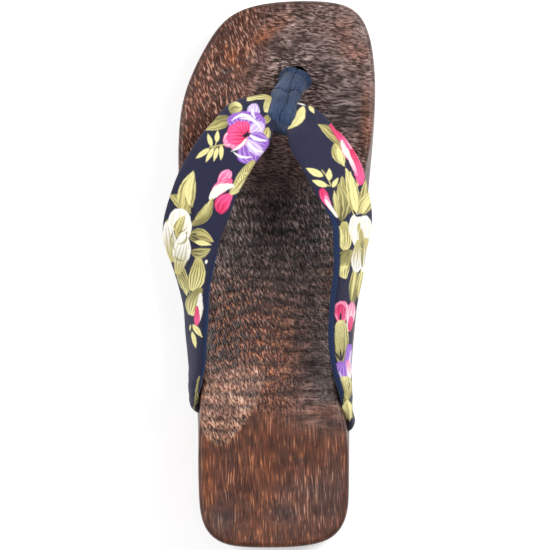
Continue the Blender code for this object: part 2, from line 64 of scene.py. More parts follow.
# How finely things are drawn: samples on a side of the outline, rings of the wood from its spine to
# below, then steps along and round the strap, the toe loop, the cutters and the bore.
OUTLINE_FINE, OUTLINE_SAMPLES, BASE_SAMPLES = 1600, 44, 220
TOP_RINGS, EDGE_RINGS, WALL_RINGS, FOOT_RINGS, UNDER_RINGS = 62, 8, 12, 5, 8
STRAP_FINE, STRAP_STEP, SECTION_FINE, STRAP_ROUND = 3000, 0.3 * MM, 4000, 168
LOOP_ROWS, LOOP_ROUND = 220, 120
CUTTER_ROWS, CUTTER_ROUND, BORE_ROUND = 72, 16, 96
CURVE_SAMPLES, NOISE_CELLS, TANGENT_SHARE = 60, 97, 1e-4
SHARP_EDGE = math.radians(40)

# Shares of the strap's path that are cut out of the wood, the share to each side of the bend that is cut
# out of the loop and its clearance, and the share left open between the bend and each half.
WOOD_CUTS, LOOP_CUT, LOOP_CLEARANCE, BEND_OPENING = ((0, 0.36), (0.64, 1)), 0.09, 0.6 * MM, 0.0008

# Plan outline of the wood: the width that the row follows, the share of the length from the heel's
# back, and the places across of the footbed's edge and of the widest level below it.
OUTER_EDGE = (
    (HEEL_WIDTH, 0.003, -0.270, -0.270),
    (HEEL_WIDTH, 0.013, -0.380, -0.380),
    (HEEL_WIDTH, 0.031, -0.450, -0.450),
    (HEEL_WIDTH, 0.062, -0.493, -0.493),
    (HEEL_WIDTH, 0.114, -0.508, -0.508),
    (HEEL_WIDTH, 0.196, -0.508, -0.512),
    (WAIST_WIDTH, 0.285, -0.521, -0.560),
    (WAIST_WIDTH, 0.390, -0.535, -0.615),
    (BALL_WIDTH, 0.516, -0.436, -0.472),
    (BALL_WIDTH, 0.636, -0.479, -0.488),
    (BALL_WIDTH, 0.727, -0.491, -0.493),
    (BALL_WIDTH, 0.810, -0.471, -0.473),
    (BALL_WIDTH, 0.870, -0.417, -0.419),
    (BALL_WIDTH, 0.929, -0.331, -0.333),
    (BALL_WIDTH, 0.970, -0.234, -0.235),
    (BALL_WIDTH, 0.992, -0.092, -0.092),
)
INNER_EDGE = (
    (HEEL_WIDTH, 0.003, 0.190, 0.190),
    (HEEL_WIDTH, 0.015, 0.353, 0.353),
    (HEEL_WIDTH, 0.037, 0.440, 0.440),
    (HEEL_WIDTH, 0.071, 0.483, 0.484),
    (HEEL_WIDTH, 0.123, 0.490, 0.494),
    (HEEL_WIDTH, 0.201, 0.480, 0.496),
    (WAIST_WIDTH, 0.291, 0.450, 0.535),
    (WAIST_WIDTH, 0.397, 0.450, 0.565),
    (BALL_WIDTH, 0.544, 0.392, 0.447),
    (BALL_WIDTH, 0.690, 0.463, 0.486),
    (BALL_WIDTH, 0.755, 0.494, 0.502),
    (BALL_WIDTH, 0.822, 0.509, 0.511),
    (BALL_WIDTH, 0.883, 0.504, 0.506),
    (BALL_WIDTH, 0.941, 0.476, 0.477),
    (BALL_WIDTH, 0.978, 0.417, 0.418),
    (BALL_WIDTH, 0.995, 0.321, 0.321),
)
# Middle line of the strap: share of the way from the heel's back to its bend, share of the ball's width
# in from the wood's edge, shares of its rise, width and thickness, and its lean in degrees.
OUTER_STRAP = (
    (0.356, -0.036, -0.32, 0.36, 0.76, 88),
    (0.381, -0.036, -0.14, 0.44, 0.84, 84),
    (0.415, -0.028, 0.04, 0.52, 0.90, 76),
    (0.471, -0.020, 0.25, 0.58, 0.94, 68),
    (0.545, -0.003, 0.49, 0.66, 0.96, 65),
    (0.599, 0.005, 0.65, 0.74, 0.98, 60),
    (0.666, 0.020, 0.82, 0.84, 1.00, 44),
    (0.723, 0.038, 0.92, 0.92, 1.00, 26),
    (0.775, 0.081, 0.98, 0.97, 1.00, 20),
    (0.833, 0.148, 1.00, 1.00, 1.00, 17),
    (0.900, 0.236, 0.96, 0.99, 1.00, 16),
    (0.960, 0.341, 0.87, 0.90, 1.02, 22),
    (0.999, 0.449, 0.76, 0.54, 1.00, 36),
)
INNER_STRAP = (
    (0.317, -0.026, -0.33, 0.36, 0.74, 88),
    (0.347, -0.033, -0.17, 0.42, 0.80, 82),
    (0.381, -0.035, -0.02, 0.48, 0.88, 74),
    (0.429, -0.023, 0.15, 0.55, 0.92, 66),
    (0.491, -0.015, 0.33, 0.61, 0.94, 62),
    (0.572, -0.008, 0.57, 0.69, 0.96, 58),
    (0.638, -0.008, 0.74, 0.77, 0.98, 58),
    (0.699, 0.005, 0.87, 0.85, 1.00, 57),
    (0.754, 0.020, 0.96, 0.92, 1.00, 53),
    (0.808, 0.069, 1.00, 0.97, 1.00, 48),
    (0.861, 0.140, 1.00, 1.00, 1.00, 43),
    (0.912, 0.223, 0.94, 0.93, 1.00, 40),
    (0.946, 0.295, 0.88, 0.80, 1.00, 38),
    (0.983, 0.370, 0.74, 0.54, 1.00, 40),
)
# The toe loop's outer form: shares of the way from its hole to the strap's bend (side, back, rise), the
# share of the way past the bend, and shares of the loop's width and thickness.
LOOP_FORM = (
    (0.00, 0.00, -0.70, 0.00, 0.76, 0.62),
    (0.00, 0.00, -0.17, 0.00, 0.80, 0.63),
    (0.22, 0.14, 0.20, 0.00, 0.83, 0.66),
    (0.72, 0.50, 0.60, 0.00, 0.90, 0.82),
    (0.97, 0.92, 0.95, 0.00, 0.98, 1.00),
    (1.00, 1.00, 1.00, 0.55, 1.00, 0.90),
    (1.00, 1.00, 1.00, 0.88, 0.92, 0.64),
    (1.00, 1.00, 1.00, 1.00, 0.74, 0.38),
)


# Curves and forms shared with the solids

def cubic_through(knots, values, places, closed=False):
    """The smooth cubic curve through the rows, with natural ends or as a closed loop, at the given places."""
    knots, values = np.asarray(knots, float), np.asarray(values, float)
    step = np.diff(knots)
    slope = np.diff(values, axis=0) / step[:, None]
    count = len(knots)
    matrix = np.zeros((count, count))
    right = np.zeros((count, values.shape[1]))
    inner = np.arange(1, count - 1)
    matrix[inner, inner - 1], matrix[inner, inner], matrix[inner, inner + 1] = (
        step[:-1], 2 * (step[:-1] + step[1:]), step[1:])
    right[1:-1] = 6 * np.diff(slope, axis=0)
    if closed:
        matrix[0, [0, 1, -2]] = 2 * (step[0] + step[-1]), step[0], step[-1]
        right[0] = 6 * (slope[0] - slope[-1])
        matrix[-1, [0, -1]] = 1, -1
    else:
        matrix[0, 0] = matrix[-1, -1] = 1
    bend = np.linalg.solve(matrix, right)
    places = np.asarray(places, float)
    i = np.clip(np.searchsorted(knots, places) - 1, 0, count - 2)
    h = step[i][:, None]
    a = (knots[i + 1] - places)[:, None] / h
    b = 1 - a
    return a * values[i] + b * values[i + 1] + ((a**3 - a) * bend[i] + (b**3 - b) * bend[i + 1]) * h**2 / 6


def smooth_step(low, high, value):
    """0 below low, 1 above high, an even curve between."""
    share = np.clip((value - low) / (high - low), 0, 1)
    return share * share * (3 - 2 * share)


def chord_knots(points, power=0.5):
    """Running sum of the distances between points, each to the power."""
    return np.concatenate([[0], np.cumsum(np.linalg.norm(np.diff(points, axis=0), axis=1) ** power)])


def unit(vectors):
    """Rows scaled to length 1."""
    return vectors / np.maximum(np.linalg.norm(vectors, axis=-1, keepdims=True), 1e-12)


def bell(distance, reach):
    """1 at no distance, falling off as a bell curve with the reach."""
    return np.exp(-(distance / reach) ** 2)


def along_to_y(along):
    """Place along the shoe from a share of its length."""
    return np.asarray(along) * LENGTH - HEEL_BACK


def photo_pixel(x, y):
    """The pixel of the photograph over plan x and y."""
    return x / PIXEL + PHOTO_X, PHOTO_Y - (y + HEEL_BACK) / PIXEL


def outline(samples):
    """The wood's outline from heel to toe: outer and inner side, each at its top and low level."""
    rows = [(HEEL_WIDTH, 0.0, HEEL_END, HEEL_END), *OUTER_EDGE, (BALL_WIDTH, 1.0, TOE_END, TOE_END)]
    rows += [*INNER_EDGE[::-1], (HEEL_WIDTH, 0.0, HEEL_END, HEEL_END)]
    width, along, top, low = np.array(rows).T
    top = np.column_stack([width * top, along_to_y(along)])
    low = np.column_stack([width * low, along_to_y(along)])
    knots = chord_knots(low)
    toe = len(OUTER_EDGE) + 1
    sides = []
    for start, end in ((0, toe), (len(rows) - 1, toe)):
        fine = np.linspace(knots[start], knots[end], OUTLINE_FINE)
        arc = chord_knots(cubic_through(knots, low, fine, closed=True), power=1)
        places = np.interp(np.linspace(0, arc[-1], samples + 1), arc, fine)
        sides.append([cubic_through(knots, level, places, closed=True) for level in (top, low)])
    (outer_top, outer_low), (inner_top, inner_low) = sides
    return outer_top, inner_top, outer_low, inner_low


def loop_of(outer, inner):
    """One closed ring: up the outer side and back down the inner one."""
    return np.concatenate([outer, inner[-2:0:-1]])


def inward_normals(ring):
    """Plan normals of a closed ring that runs clockwise seen from above, pointing inwards."""
    tangent = unit(np.roll(ring, -1, axis=0) - np.roll(ring, 1, axis=0))
    return np.column_stack([tangent[:, 1], -tangent[:, 0]])


def edge_x(edge, y):
    """Place across of an edge at y."""
    return np.interp(y, edge[:, 1], edge[:, 0])


def footbed_level(y):
    """Height of the footbed's lengthwise middle, without its dish."""
    along = (np.asarray(y) + HEEL_BACK) / LENGTH
    level = BALL_HEIGHT + (HEEL_HEIGHT - BALL_HEIGHT) * (1 - smooth_step(SEAT_END, BALL_START, along))
    level = level + HEEL_RIM_LIFT * np.clip(1 - along / (SEAT_END / 2), 0, 1) ** 2
    return level + TOE_LIFT * np.clip((along - TOE_LIFT_START) / (1 - TOE_LIFT_START), 0, 1) ** 2


def underside_level(y):
    """Height of the wood's underside: flat over the treads, arched at the waist, sprung at the toe."""
    along = (np.asarray(y) + HEEL_BACK) / LENGTH
    arch = smooth_step(ARCH_START, ARCH_TOP_START, along) * (1 - smooth_step(ARCH_TOP_END, ARCH_END, along))
    spring = np.clip((along - TOE_SPRING_START) / (1 - TOE_SPRING_START), 0, 1) ** 2
    return TREAD_THICKNESS + GAP + ARCH_RISE * arch + TOE_SPRING * spring


def toe_hole():
    """Plan place of the toe hole's middle."""
    return np.array([TOE_HOLE_ACROSS, LENGTH - HEEL_BACK - TOE_HOLE_FROM_TIP])


def strap_bend():
    """Place of the strap's bend, where the toe loop holds it."""
    x, y = toe_hole() + (-LOOP_SIDESTEP, -LOOP_SETBACK)
    return np.array([x, y, float(footbed_level(y)) + LOOP_RISE])


def strap_half(rows, edge, inward, hole_along):
    """Middle points, widths, thicknesses and leans of one half of the strap, from its end in the wood."""
    reach = strap_bend()[1] + HEEL_BACK
    y = hole_along * reach - HEEL_BACK
    x = edge_x(edge, y)
    level = float(footbed_level(y)) - HOLE_DROP
    end = (STRAP_END_WIDTH, STRAP_END_THICKNESS, 90)
    stations = [
        (x + inward * HOLE_REACH, y - HOLE_BACK, level - HOLE_FALL, *end),
        (x - inward * HOLE_OUT, y, level, *end),
    ]
    for along, inset, rise, width, thickness, lean in rows:
        y = along * reach - HEEL_BACK
        x = edge_x(edge, y) + inward * inset * BALL_WIDTH
        z = float(footbed_level(y)) + rise * STRAP_RISE
        stations.append((x, y, z, width * STRAP_WIDTH, thickness * STRAP_THICKNESS, lean))
    return stations


def strap_stations():
    """All stations of the strap from its outer end round the toe loop to its inner end, their knots, and the
    bend's knot."""
    outer_top, inner_top, _, _ = outline(OUTLINE_SAMPLES)
    outer = strap_half(OUTER_STRAP, outer_top, 1, OUTER_HOLE_ALONG)
    inner = strap_half(INNER_STRAP, inner_top, -1, INNER_HOLE_ALONG)
    bend = (*strap_bend(), BEND_WIDTH * STRAP_WIDTH, BEND_THICKNESS * STRAP_THICKNESS, BEND_LEAN)
    stations = np.array([*outer, bend, *inner[::-1]])
    knots = chord_knots(stations[:, :3])
    return stations, knots, knots[len(outer)]


def strap_path(places):
    """Middle points of the strap at knot places, with its wide and thick directions and half sizes."""
    stations, knots, _ = strap_stations()
    values = cubic_through(knots, stations, places)
    delta = knots[-1] * TANGENT_SHARE
    ahead = cubic_through(knots, stations[:, :3], np.clip(places + delta, 0, knots[-1]))
    behind = cubic_through(knots, stations[:, :3], np.clip(places - delta, 0, knots[-1]))
    tangent = unit(ahead - behind)
    level = unit(np.cross(tangent, (0, 0, 1)))
    up = np.cross(level, tangent)
    lean = np.radians(values[:, 5])[:, None]
    wide = level * np.cos(lean) + up * np.sin(lean)
    thick = up * np.cos(lean) - level * np.sin(lean)
    return values[:, :3], wide, thick, values[:, 3] / 2, values[:, 4] / 2


def oval(angle):
    """Shares of the half width and half thickness round a rounded oval, from the edge next to the instep."""
    across = np.sign(np.cos(angle)) * np.abs(np.cos(angle)) ** (2 / SECTION_POWER)
    over = np.sign(np.sin(angle)) * np.abs(np.sin(angle)) ** (2 / SECTION_POWER)
    return across, over


def band(path, angles, extra=0.0):
    """Points round the strap: ovals at each place of the path, at the given angles, grown by extra."""
    middle, wide, thick, half_width, half_thickness = path
    across, over = oval(angles)
    grid = middle[:, None] + wide[:, None] * (across * (half_width + extra)[:, None])[..., None]
    return grid + thick[:, None] * (over * (half_thickness + extra)[:, None])[..., None]


# Meshes

def mesh_piece(name, vertices, quads, caps=()):
    """A smooth-shaded mesh object from vertex rows and an array of quads, with end caps as longer faces."""
    mesh = bpy.data.meshes.new(name)
    loops = np.concatenate([np.asarray(quads).ravel(), *[np.asarray(c) for c in caps]]).astype(np.int32)
    sizes = np.concatenate([np.full(len(quads), 4), [len(c) for c in caps]]).astype(np.int32)
    starts = np.concatenate([[0], np.cumsum(sizes)[:-1]]).astype(np.int32)
    mesh.vertices.add(len(vertices))
    mesh.vertices.foreach_set("co", np.asarray(vertices, np.float32).ravel())
    mesh.loops.add(len(loops))
    mesh.loops.foreach_set("vertex_index", loops)
    mesh.polygons.add(len(sizes))
    mesh.polygons.foreach_set("loop_start", starts)
    mesh.update(calc_edges=True)
    mesh.validate()
    mesh.shade_smooth()
    piece = bpy.data.objects.new(name, mesh)
    bpy.context.scene.collection.objects.link(piece)
    return piece


def ring_quads(rows, columns):
    """Quads of a grid of rows by columns whose last column joins the first."""
    r, c = np.meshgrid(np.arange(rows - 1), np.arange(columns), indexing="ij")
    n = (c + 1) % columns
    quads = np.stack([r * columns + c, r * columns + n, (r + 1) * columns + n, (r + 1) * columns + c], -1)
    return quads.reshape(-1, 4)


def tube_piece(name, grid):
    """A closed tube through the rings of a grid, with its ends capped."""
    rows, columns = grid.shape[:2]
    caps = [np.arange(columns)[::-1], (rows - 1) * columns + np.arange(columns)]
    return mesh_piece(name, grid.reshape(-1, 3), ring_quads(rows, columns), caps)


def tube_normals(grid, middle):
    """Normals of a tube's grid, pointing away from its middle line."""
    around = np.roll(grid, -1, axis=1) - np.roll(grid, 1, axis=1)
    normal = unit(np.cross(np.gradient(grid, axis=0), around))
    return normal * np.sign(np.sum(normal * (grid - middle[:, None]), axis=2).mean())


def positions(piece):
    """Vertex positions of a piece's mesh as rows."""
    co = np.empty(len(piece.data.vertices) * 3, np.float32)
    piece.data.vertices.foreach_get("co", co)
    return co.reshape(-1, 3).astype(float)


def put_colour(piece, name, colours):
    """A colour attribute on the vertices from rows of linear red, green, blue."""
    rows = np.ones((len(colours), 4), np.float32)
    rows[:, :3] = colours
    attribute = piece.data.attributes.new(name, "FLOAT_COLOR", "POINT")
    attribute.data.foreach_set("color", rows.ravel())


def put_value(piece, name, values):
    """A number on each vertex."""
    attribute = piece.data.attributes.new(name, "FLOAT", "POINT")
    attribute.data.foreach_set("value", np.asarray(values, np.float32))


def put_uv(piece, across, along):
    """UV map "cloth" in metres from the places across and along of each vertex."""
    mesh = piece.data
    corner = np.empty(len(mesh.loops), np.int32)
    mesh.loops.foreach_get("vertex_index", corner)
    uv = np.column_stack([across.ravel(), along.ravel()])[corner]
    mesh.uv_layers.new(name="cloth").data.foreach_set("uv", uv.astype(np.float32).ravel())


def cut_away(piece, *cutters):
    """Cuts the cutters' shapes out of a piece for good, and removes the cutters."""
    for cutter in cutters:
        modifier = piece.modifiers.new("cut", "BOOLEAN")
        modifier.operation, modifier.object, modifier.use_self = "DIFFERENCE", cutter, True
    shaped = bpy.data.meshes.new_from_object(piece.evaluated_get(bpy.context.evaluated_depsgraph_get()))
    piece.modifiers.clear()
    piece.data = shaped
    for cutter in cutters:
        bpy.data.objects.remove(cutter)


def finish_piece(piece, material, node):
    """Gives a finished piece its material and body, and hides the solid of its node."""
    piece.data.materials.clear()
    piece.data.materials.append(material)
    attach(piece, "root")
    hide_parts(node)


def value_noise(x, y, wide, tall, seed):
    """Smooth noise from -1 to 1 at x, y: random heights on a lattice of wide by tall cells, eased between."""
    heights = np.random.default_rng(seed).uniform(-1, 1, (NOISE_CELLS, NOISE_CELLS))
    x, y = x / wide, y / tall
    i, j = np.floor(x).astype(int), np.floor(y).astype(int)
    u, v = x - i, y - j
    u, v = u * u * (3 - 2 * u), v * v * (3 - 2 * v)
    i, j = i % NOISE_CELLS, j % NOISE_CELLS
    i_next, j_next = (i + 1) % NOISE_CELLS, (j + 1) % NOISE_CELLS
    low = heights[i, j] * (1 - u) + heights[i_next, j] * u
    high = heights[i, j_next] * (1 - u) + heights[i_next, j_next] * u
    return low * (1 - v) + high * v


# Colours and node helpers

def linear(red, green, blue):
    """Linear colour of a screen colour from 0 to 255."""
    screen = np.array([red, green, blue]) / 255
    return np.where(screen <= 0.04045, screen / 12.92, ((screen + 0.055) / 1.055) ** 2.4)


# Painted shade for the hollows between fibres, a darker mottle, and a painted glint for glossy fibre tops.
SHADED_HOLLOW_WOOD, MOTTLED_WOOD, PAINTED_GLINT_WOOD = linear(24, 14, 12), linear(34, 22, 20), linear(226, 208, 200)
VELOUR_DARK, VELOUR_LIGHT, VELOUR_SHADE_AND_MOTTLE = linear(20, 32, 60), linear(86, 108, 144), linear(12, 20, 42)
RUBBER_DARK, RUBBER_LIGHT = linear(24, 22, 22), linear(46, 42, 41)
FLOOR_GREY, WHITE_LIGHT = (0.93, 0.93, 0.93, 1), (1, 1, 1, 1)

# Depths of the relief in the materials, how deep a fibre is in widths, the repeats of the weaves in
# millimetres, and scales of the noises for one millimetre.
WOOD_RELIEF, CLOTH_RELIEF, VELOUR_RELIEF, RUBBER_RELIEF = 0.8 * MM, 0.12 * MM, 0.25 * MM, 0.15 * MM
FIBRE_DEPTH = 4.0
CLOTH_PITCH, LINING_RIB_PITCH, VELOUR_PITCH = 0.42, 1.5, 0.9
MOTTLE_SCALE, NAP_SCALE, GRAIN_SCALE = 0.16, 1.6, 2.2
# Noise levels where an effect in the wood starts and is full, and how strong it is; the painted shade
# in the hollows is deeper where the wood is glossier, and so is the relief.
FIBRES_SHOW, HOLLOWS_SHOW, MOTTLES_SHOW, GLINTS_SHOW = (0.30, 0.56), (0.51, 0.39), (0.58, 0.38), (0.68, 0.76)
HOLLOW_SHADE, HOLLOW_GLOSS_SHADE, MOTTLE_SHADE, GLINT_SHADE = 0.45, 0.3, 0.38, 0.5
WOOD_ROUGHNESS, GLOSS_SMOOTHS, GLOSS_RELIEF = 0.48, 0.22, 0.9


def add(tree, kind, inputs=(), **settings):
    """A node with its settings; inputs gives sockets by name or number, each a value or a socket to
    link from."""
    node = tree.nodes.new(kind)
    for key, value in settings.items():
        setattr(node, key, value)
    for key, value in dict(inputs).items():
        if isinstance(value, bpy.types.NodeSocket):
            tree.links.new(value, node.inputs[key])
        else:
            node.inputs[key].default_value = value
    return node


def calc(tree, operation, a, b=0.0, c=0.0):
    """Output of a math node."""
    return add(tree, "ShaderNodeMath", {0: a, 1: b, 2: c}, operation=operation).outputs[0]


def between(tree, value, low, high):
    """0 below low, 1 above high, smooth between."""
    settings = {"Value": value, "From Min": low, "From Max": high}
    return add(tree, "ShaderNodeMapRange", settings, interpolation_type="SMOOTHSTEP").outputs[0]


def blend(tree, share, a, b, mode="MIX"):
    """Colour a turning into colour b as share goes from 0 to 1."""
    a, b = [c if isinstance(c, bpy.types.NodeSocket) else (*c, 1) for c in (a, b)]
    return add(tree, "ShaderNodeMix", {0: share, 6: a, 7: b}, data_type="RGBA", blend_type=mode).outputs[2]


def vector(tree, operation, inputs):
    """Output of a vector math node."""
    return add(tree, "ShaderNodeVectorMath", inputs, operation=operation).outputs[0]


def noise(tree, place, scale, detail):
    """Outputs of a noise node."""
    return add(tree, "ShaderNodeTexNoise", {"Vector": place, "Scale": scale, "Detail": detail}).outputs


def attribute(tree, name, colour=False):
    """The value or the colour of a vertex attribute."""
    return add(tree, "ShaderNodeAttribute", attribute_name=name).outputs["Color" if colour else "Fac"]


def object_place(tree):
    """Object coordinates in millimetres."""
    return vector(tree, "SCALE", {0: add(tree, "ShaderNodeTexCoord").outputs["Object"], 3: 1 / MM})


def cloth_place(tree):
    """The cloth's own map in millimetres."""
    return vector(tree, "SCALE", {0: add(tree, "ShaderNodeUVMap", uv_map="cloth").outputs[0], 3: 1 / MM})


def new_group(name, inputs, outputs):
    """A node group with its sockets, given as (name, kind) pairs, and its input and output nodes."""
    group = bpy.data.node_groups.new(name, "ShaderNodeTree")
    for side, sockets in (("INPUT", inputs), ("OUTPUT", outputs)):
        for socket, kind in sockets:
            group.interface.new_socket(socket, in_out=side, socket_type="NodeSocket" + kind)
    return group, group.nodes.new("NodeGroupInput").outputs, group.nodes.new("NodeGroupOutput").inputs


def make_streak_group():
    """Short wavy fibres: noise stretched along a direction in plan, after a slow warp."""
    values = ("Turn", "Width", "Length", "Warp", "Warp Scale", "From", "To")
    sockets = [("Place", "Vector"), *[(name, "Float") for name in values]]
    group, given, made = new_group("streaks", sockets, [("Height", "Float"), ("Line", "Float")])
    warp = noise(group, given["Place"], given["Warp Scale"], 2)["Color"]
    centred = vector(group, "SUBTRACT", {0: warp, 1: (0.5, 0.5, 0.5)})
    shift = vector(group, "SCALE", {0: centred, 3: given["Warp"]})
    moved = vector(group, "ADD", {0: given["Place"], 1: shift})
    turned = add(group, "ShaderNodeVectorRotate", {"Vector": moved, "Angle": given["Turn"]},
                 rotation_type="Z_AXIS").outputs[0]
    deep = calc(group, "MULTIPLY", given["Width"], FIBRE_DEPTH)
    size = add(group, "ShaderNodeCombineXYZ", {0: given["Width"], 1: given["Length"], 2: deep}).outputs[0]
    height = noise(group, vector(group, "DIVIDE", {0: turned, 1: size}), 1.0, 1.0)[0]
    group.links.new(height, made["Height"])
    group.links.new(between(group, height, given["From"], given["To"]), made["Line"])
    return group


def make_weave_group():
    """Threads crossing at right angles, and slanted ribs, on a map in millimetres."""
    sockets = [("Place", "Vector"), ("Pitch", "Float"), ("Rib Pitch", "Float")]
    group, given, made = new_group("weave", sockets, [("Threads", "Float"), ("Ribs", "Float")])
    parts = add(group, "ShaderNodeSeparateXYZ", {0: given["Place"]}).outputs

    def wave(place, pitch):
        """A sine of the place, with one turn in a pitch."""
        return calc(group, "SINE", calc(group, "MULTIPLY", calc(group, "DIVIDE", place, pitch), 2 * math.pi))

    threads = calc(group, "MULTIPLY", wave(parts[0], given["Pitch"]), wave(parts[1], given["Pitch"]))
    group.links.new(calc(group, "MULTIPLY", threads, 0.5), made["Threads"])
    group.links.new(wave(calc(group, "ADD", parts[0], parts[1]), given["Rib Pitch"]), made["Ribs"])
    return group


def use_group(tree, group, inputs):
    """Outputs of a node group."""
    return add(tree, "ShaderNodeGroup", inputs, node_tree=group).outputs


def new_material(name, **constants):
    """A material with a Principled shader, its constant sockets set."""
    material = bpy.data.materials.new(name)
    material.use_nodes = True
    shader = material.node_tree.nodes["Principled BSDF"]
    for key, value in constants.items():
        shader.inputs[key.replace("_", " ")].default_value = value
    return material, material.node_tree, shader


def bump(tree, height, distance, strength):
    """The shading normal of a height."""
    inputs = {"Height": height, "Distance": distance, "Strength": strength}
    return add(tree, "ShaderNodeBump", inputs).outputs[0]


def make_wood(streaks):
    """Burnt and brushed cedar: five kinds of fibre weighed by the masks, on the mesh's ground and fibre
    colours, painted shade in hollows, darker mottles, painted glints on glossy fibre tops, a thin coat."""
    material, tree, shader = new_material(
        "burnt_cedar", Specular_IOR_Level=0.26, Coat_Weight=0.06, Coat_Roughness=0.15)
    place = object_place(tree)
    height, line = 0.0, 0.0
    for name, turn, width, length, warp, warp_scale, low, high in WOOD_FIBRES:
        fibres = use_group(tree, streaks, {
            "Place": place, "Turn": math.radians(turn), "Width": width, "Length": length,
            "Warp": warp, "Warp Scale": warp_scale, "From": low, "To": high})
        weight = attribute(tree, name)
        height = calc(tree, "MULTIPLY_ADD", fibres["Height"], weight, height)
        line = calc(tree, "MULTIPLY_ADD", fibres["Line"], weight, line)
    broad, gloss = noise(tree, place, MOTTLE_SCALE, 3)[0], attribute(tree, "gloss")
    # Painted shade in the hollows between the fibres, deeper where the wood is glossier.
    sunk = calc(tree, "MULTIPLY_ADD", gloss, HOLLOW_GLOSS_SHADE, HOLLOW_SHADE)
    sunk = calc(tree, "MULTIPLY", between(tree, height, *HOLLOWS_SHOW), sunk)
    mottled = calc(tree, "MULTIPLY", between(tree, broad, *MOTTLES_SHOW), MOTTLE_SHADE)
    line = calc(tree, "MULTIPLY", line, between(tree, broad, *FIBRES_SHOW))
    # Painted glints: the colour of the tops of glossy fibres turns near-white.
    glint = calc(tree, "MULTIPLY", between(tree, height, *GLINTS_SHOW), gloss)
    glint = calc(tree, "MULTIPLY", glint, GLINT_SHADE)
    colour = attribute(tree, "ground", True)
    for share, over in ((sunk, SHADED_HOLLOW_WOOD), (mottled, MOTTLED_WOOD), (line, attribute(tree, "fibre", True)),
                        (glint, PAINTED_GLINT_WOOD)):
        colour = blend(tree, share, colour, over)
    rough = calc(tree, "SUBTRACT", WOOD_ROUGHNESS, calc(tree, "MULTIPLY", gloss, GLOSS_SMOOTHS))
    relief = calc(tree, "MULTIPLY", height, calc(tree, "MULTIPLY", gloss, GLOSS_RELIEF))
    tree.links.new(colour, shader.inputs["Base Color"])
    tree.links.new(rough, shader.inputs["Roughness"])
    tree.links.new(bump(tree, relief, WOOD_RELIEF, 0.9), shader.inputs["Normal"])
    return material


def make_cloth(weave):
    """Printed cotton and blue twill: the colours are on the mesh; threads or ribs by the lining mask."""
    material, tree, shader = new_material(
        "print_cloth", Roughness=0.85, Specular_IOR_Level=0.25, Sheen_Weight=0.1, Sheen_Roughness=0.5)
    made = use_group(tree, weave, {"Place": cloth_place(tree), "Pitch": CLOTH_PITCH,
                                   "Rib Pitch": LINING_RIB_PITCH})
    lining = attribute(tree, "lining")
    height = add(tree, "ShaderNodeMix", {0: lining, 2: made["Threads"], 3: made["Ribs"]},
                 data_type="FLOAT").outputs[0]
    shade = calc(tree, "MULTIPLY_ADD", height, calc(tree, "MULTIPLY_ADD", lining, 0.36, 0.06), 1.0)
    grey = add(tree, "ShaderNodeCombineColor", {0: shade, 1: shade, 2: shade}).outputs[0]
    colour = blend(tree, 1.0, attribute(tree, "print", True), grey, "MULTIPLY")
    tree.links.new(colour, shader.inputs["Base Color"])
    tree.links.new(bump(tree, height, CLOTH_RELIEF, 0.8), shader.inputs["Normal"])
    return material


def make_velour(weave):
    """Blue velour with a fine weave: nap noise lightens it, and the crease mask paints shade into the
    creases, the gaps between ribs, the low part and sides that face away from above, with a little mottle.
    """
    material, tree, shader = new_material(
        "velour", Roughness=0.9, Specular_IOR_Level=0.15, Sheen_Weight=0.25, Sheen_Roughness=0.45)
    made = use_group(tree, weave, {"Place": cloth_place(tree), "Pitch": VELOUR_PITCH})
    nap = noise(tree, object_place(tree), NAP_SCALE, 3)[0]
    height = calc(tree, "ADD", calc(tree, "MULTIPLY", made["Threads"], 0.5), nap)
    colour = blend(tree, between(tree, height, 0.3, 0.8), VELOUR_DARK, VELOUR_LIGHT)
    colour = blend(tree, attribute(tree, "crease"), colour, VELOUR_SHADE_AND_MOTTLE)
    tree.links.new(colour, shader.inputs["Base Color"])
    tree.links.new(bump(tree, height, VELOUR_RELIEF, 0.7), shader.inputs["Normal"])
    return material


def make_rubber():
    """Matt dark rubber with a fine grain."""
    material, tree, shader = new_material("tread_rubber", Roughness=0.7, Specular_IOR_Level=0.35)
    grain = noise(tree, object_place(tree), GRAIN_SCALE, 4)[0]
    tree.links.new(blend(tree, grain, RUBBER_DARK, RUBBER_LIGHT), shader.inputs["Base Color"])
    tree.links.new(bump(tree, grain, RUBBER_RELIEF, 0.5), shader.inputs["Normal"])
    return material


# Wood

# Kinds of fibre: the mask, turn in degrees from lengthwise, width, length and warp in millimetres, warp
# scale, and the noise levels where its light lines start and are full.
WOOD_FIBRES = (
    ("slanted", -20, 0.66, 3.1, 0.7, 0.22, 0.55, 0.64),
    ("rippled", -82, 0.68, 2.6, 2.6, 0.20, 0.51, 0.63),
    ("contoured", -90, 0.90, 9.0, 3.8, 0.14, 0.50, 0.66),
    ("flecked", -22, 0.68, 2.2, 0.3, 0.22, 0.53, 0.62),
    ("lined", -2, 0.52, 8.0, 1.6, 0.08, 0.59, 0.68),
)
# Ground and fibre colours of each kind.
FIBRE_COLOURS = {
    "slanted": ((94, 56, 44), (184, 134, 114)),
    "rippled": ((102, 75, 68), (140, 110, 101)),
    "contoured": ((112, 93, 89), (136, 116, 112)),
    "flecked": ((76, 58, 54), (190, 160, 151)),
    "lined": ((102, 60, 45), (172, 108, 70)),
}
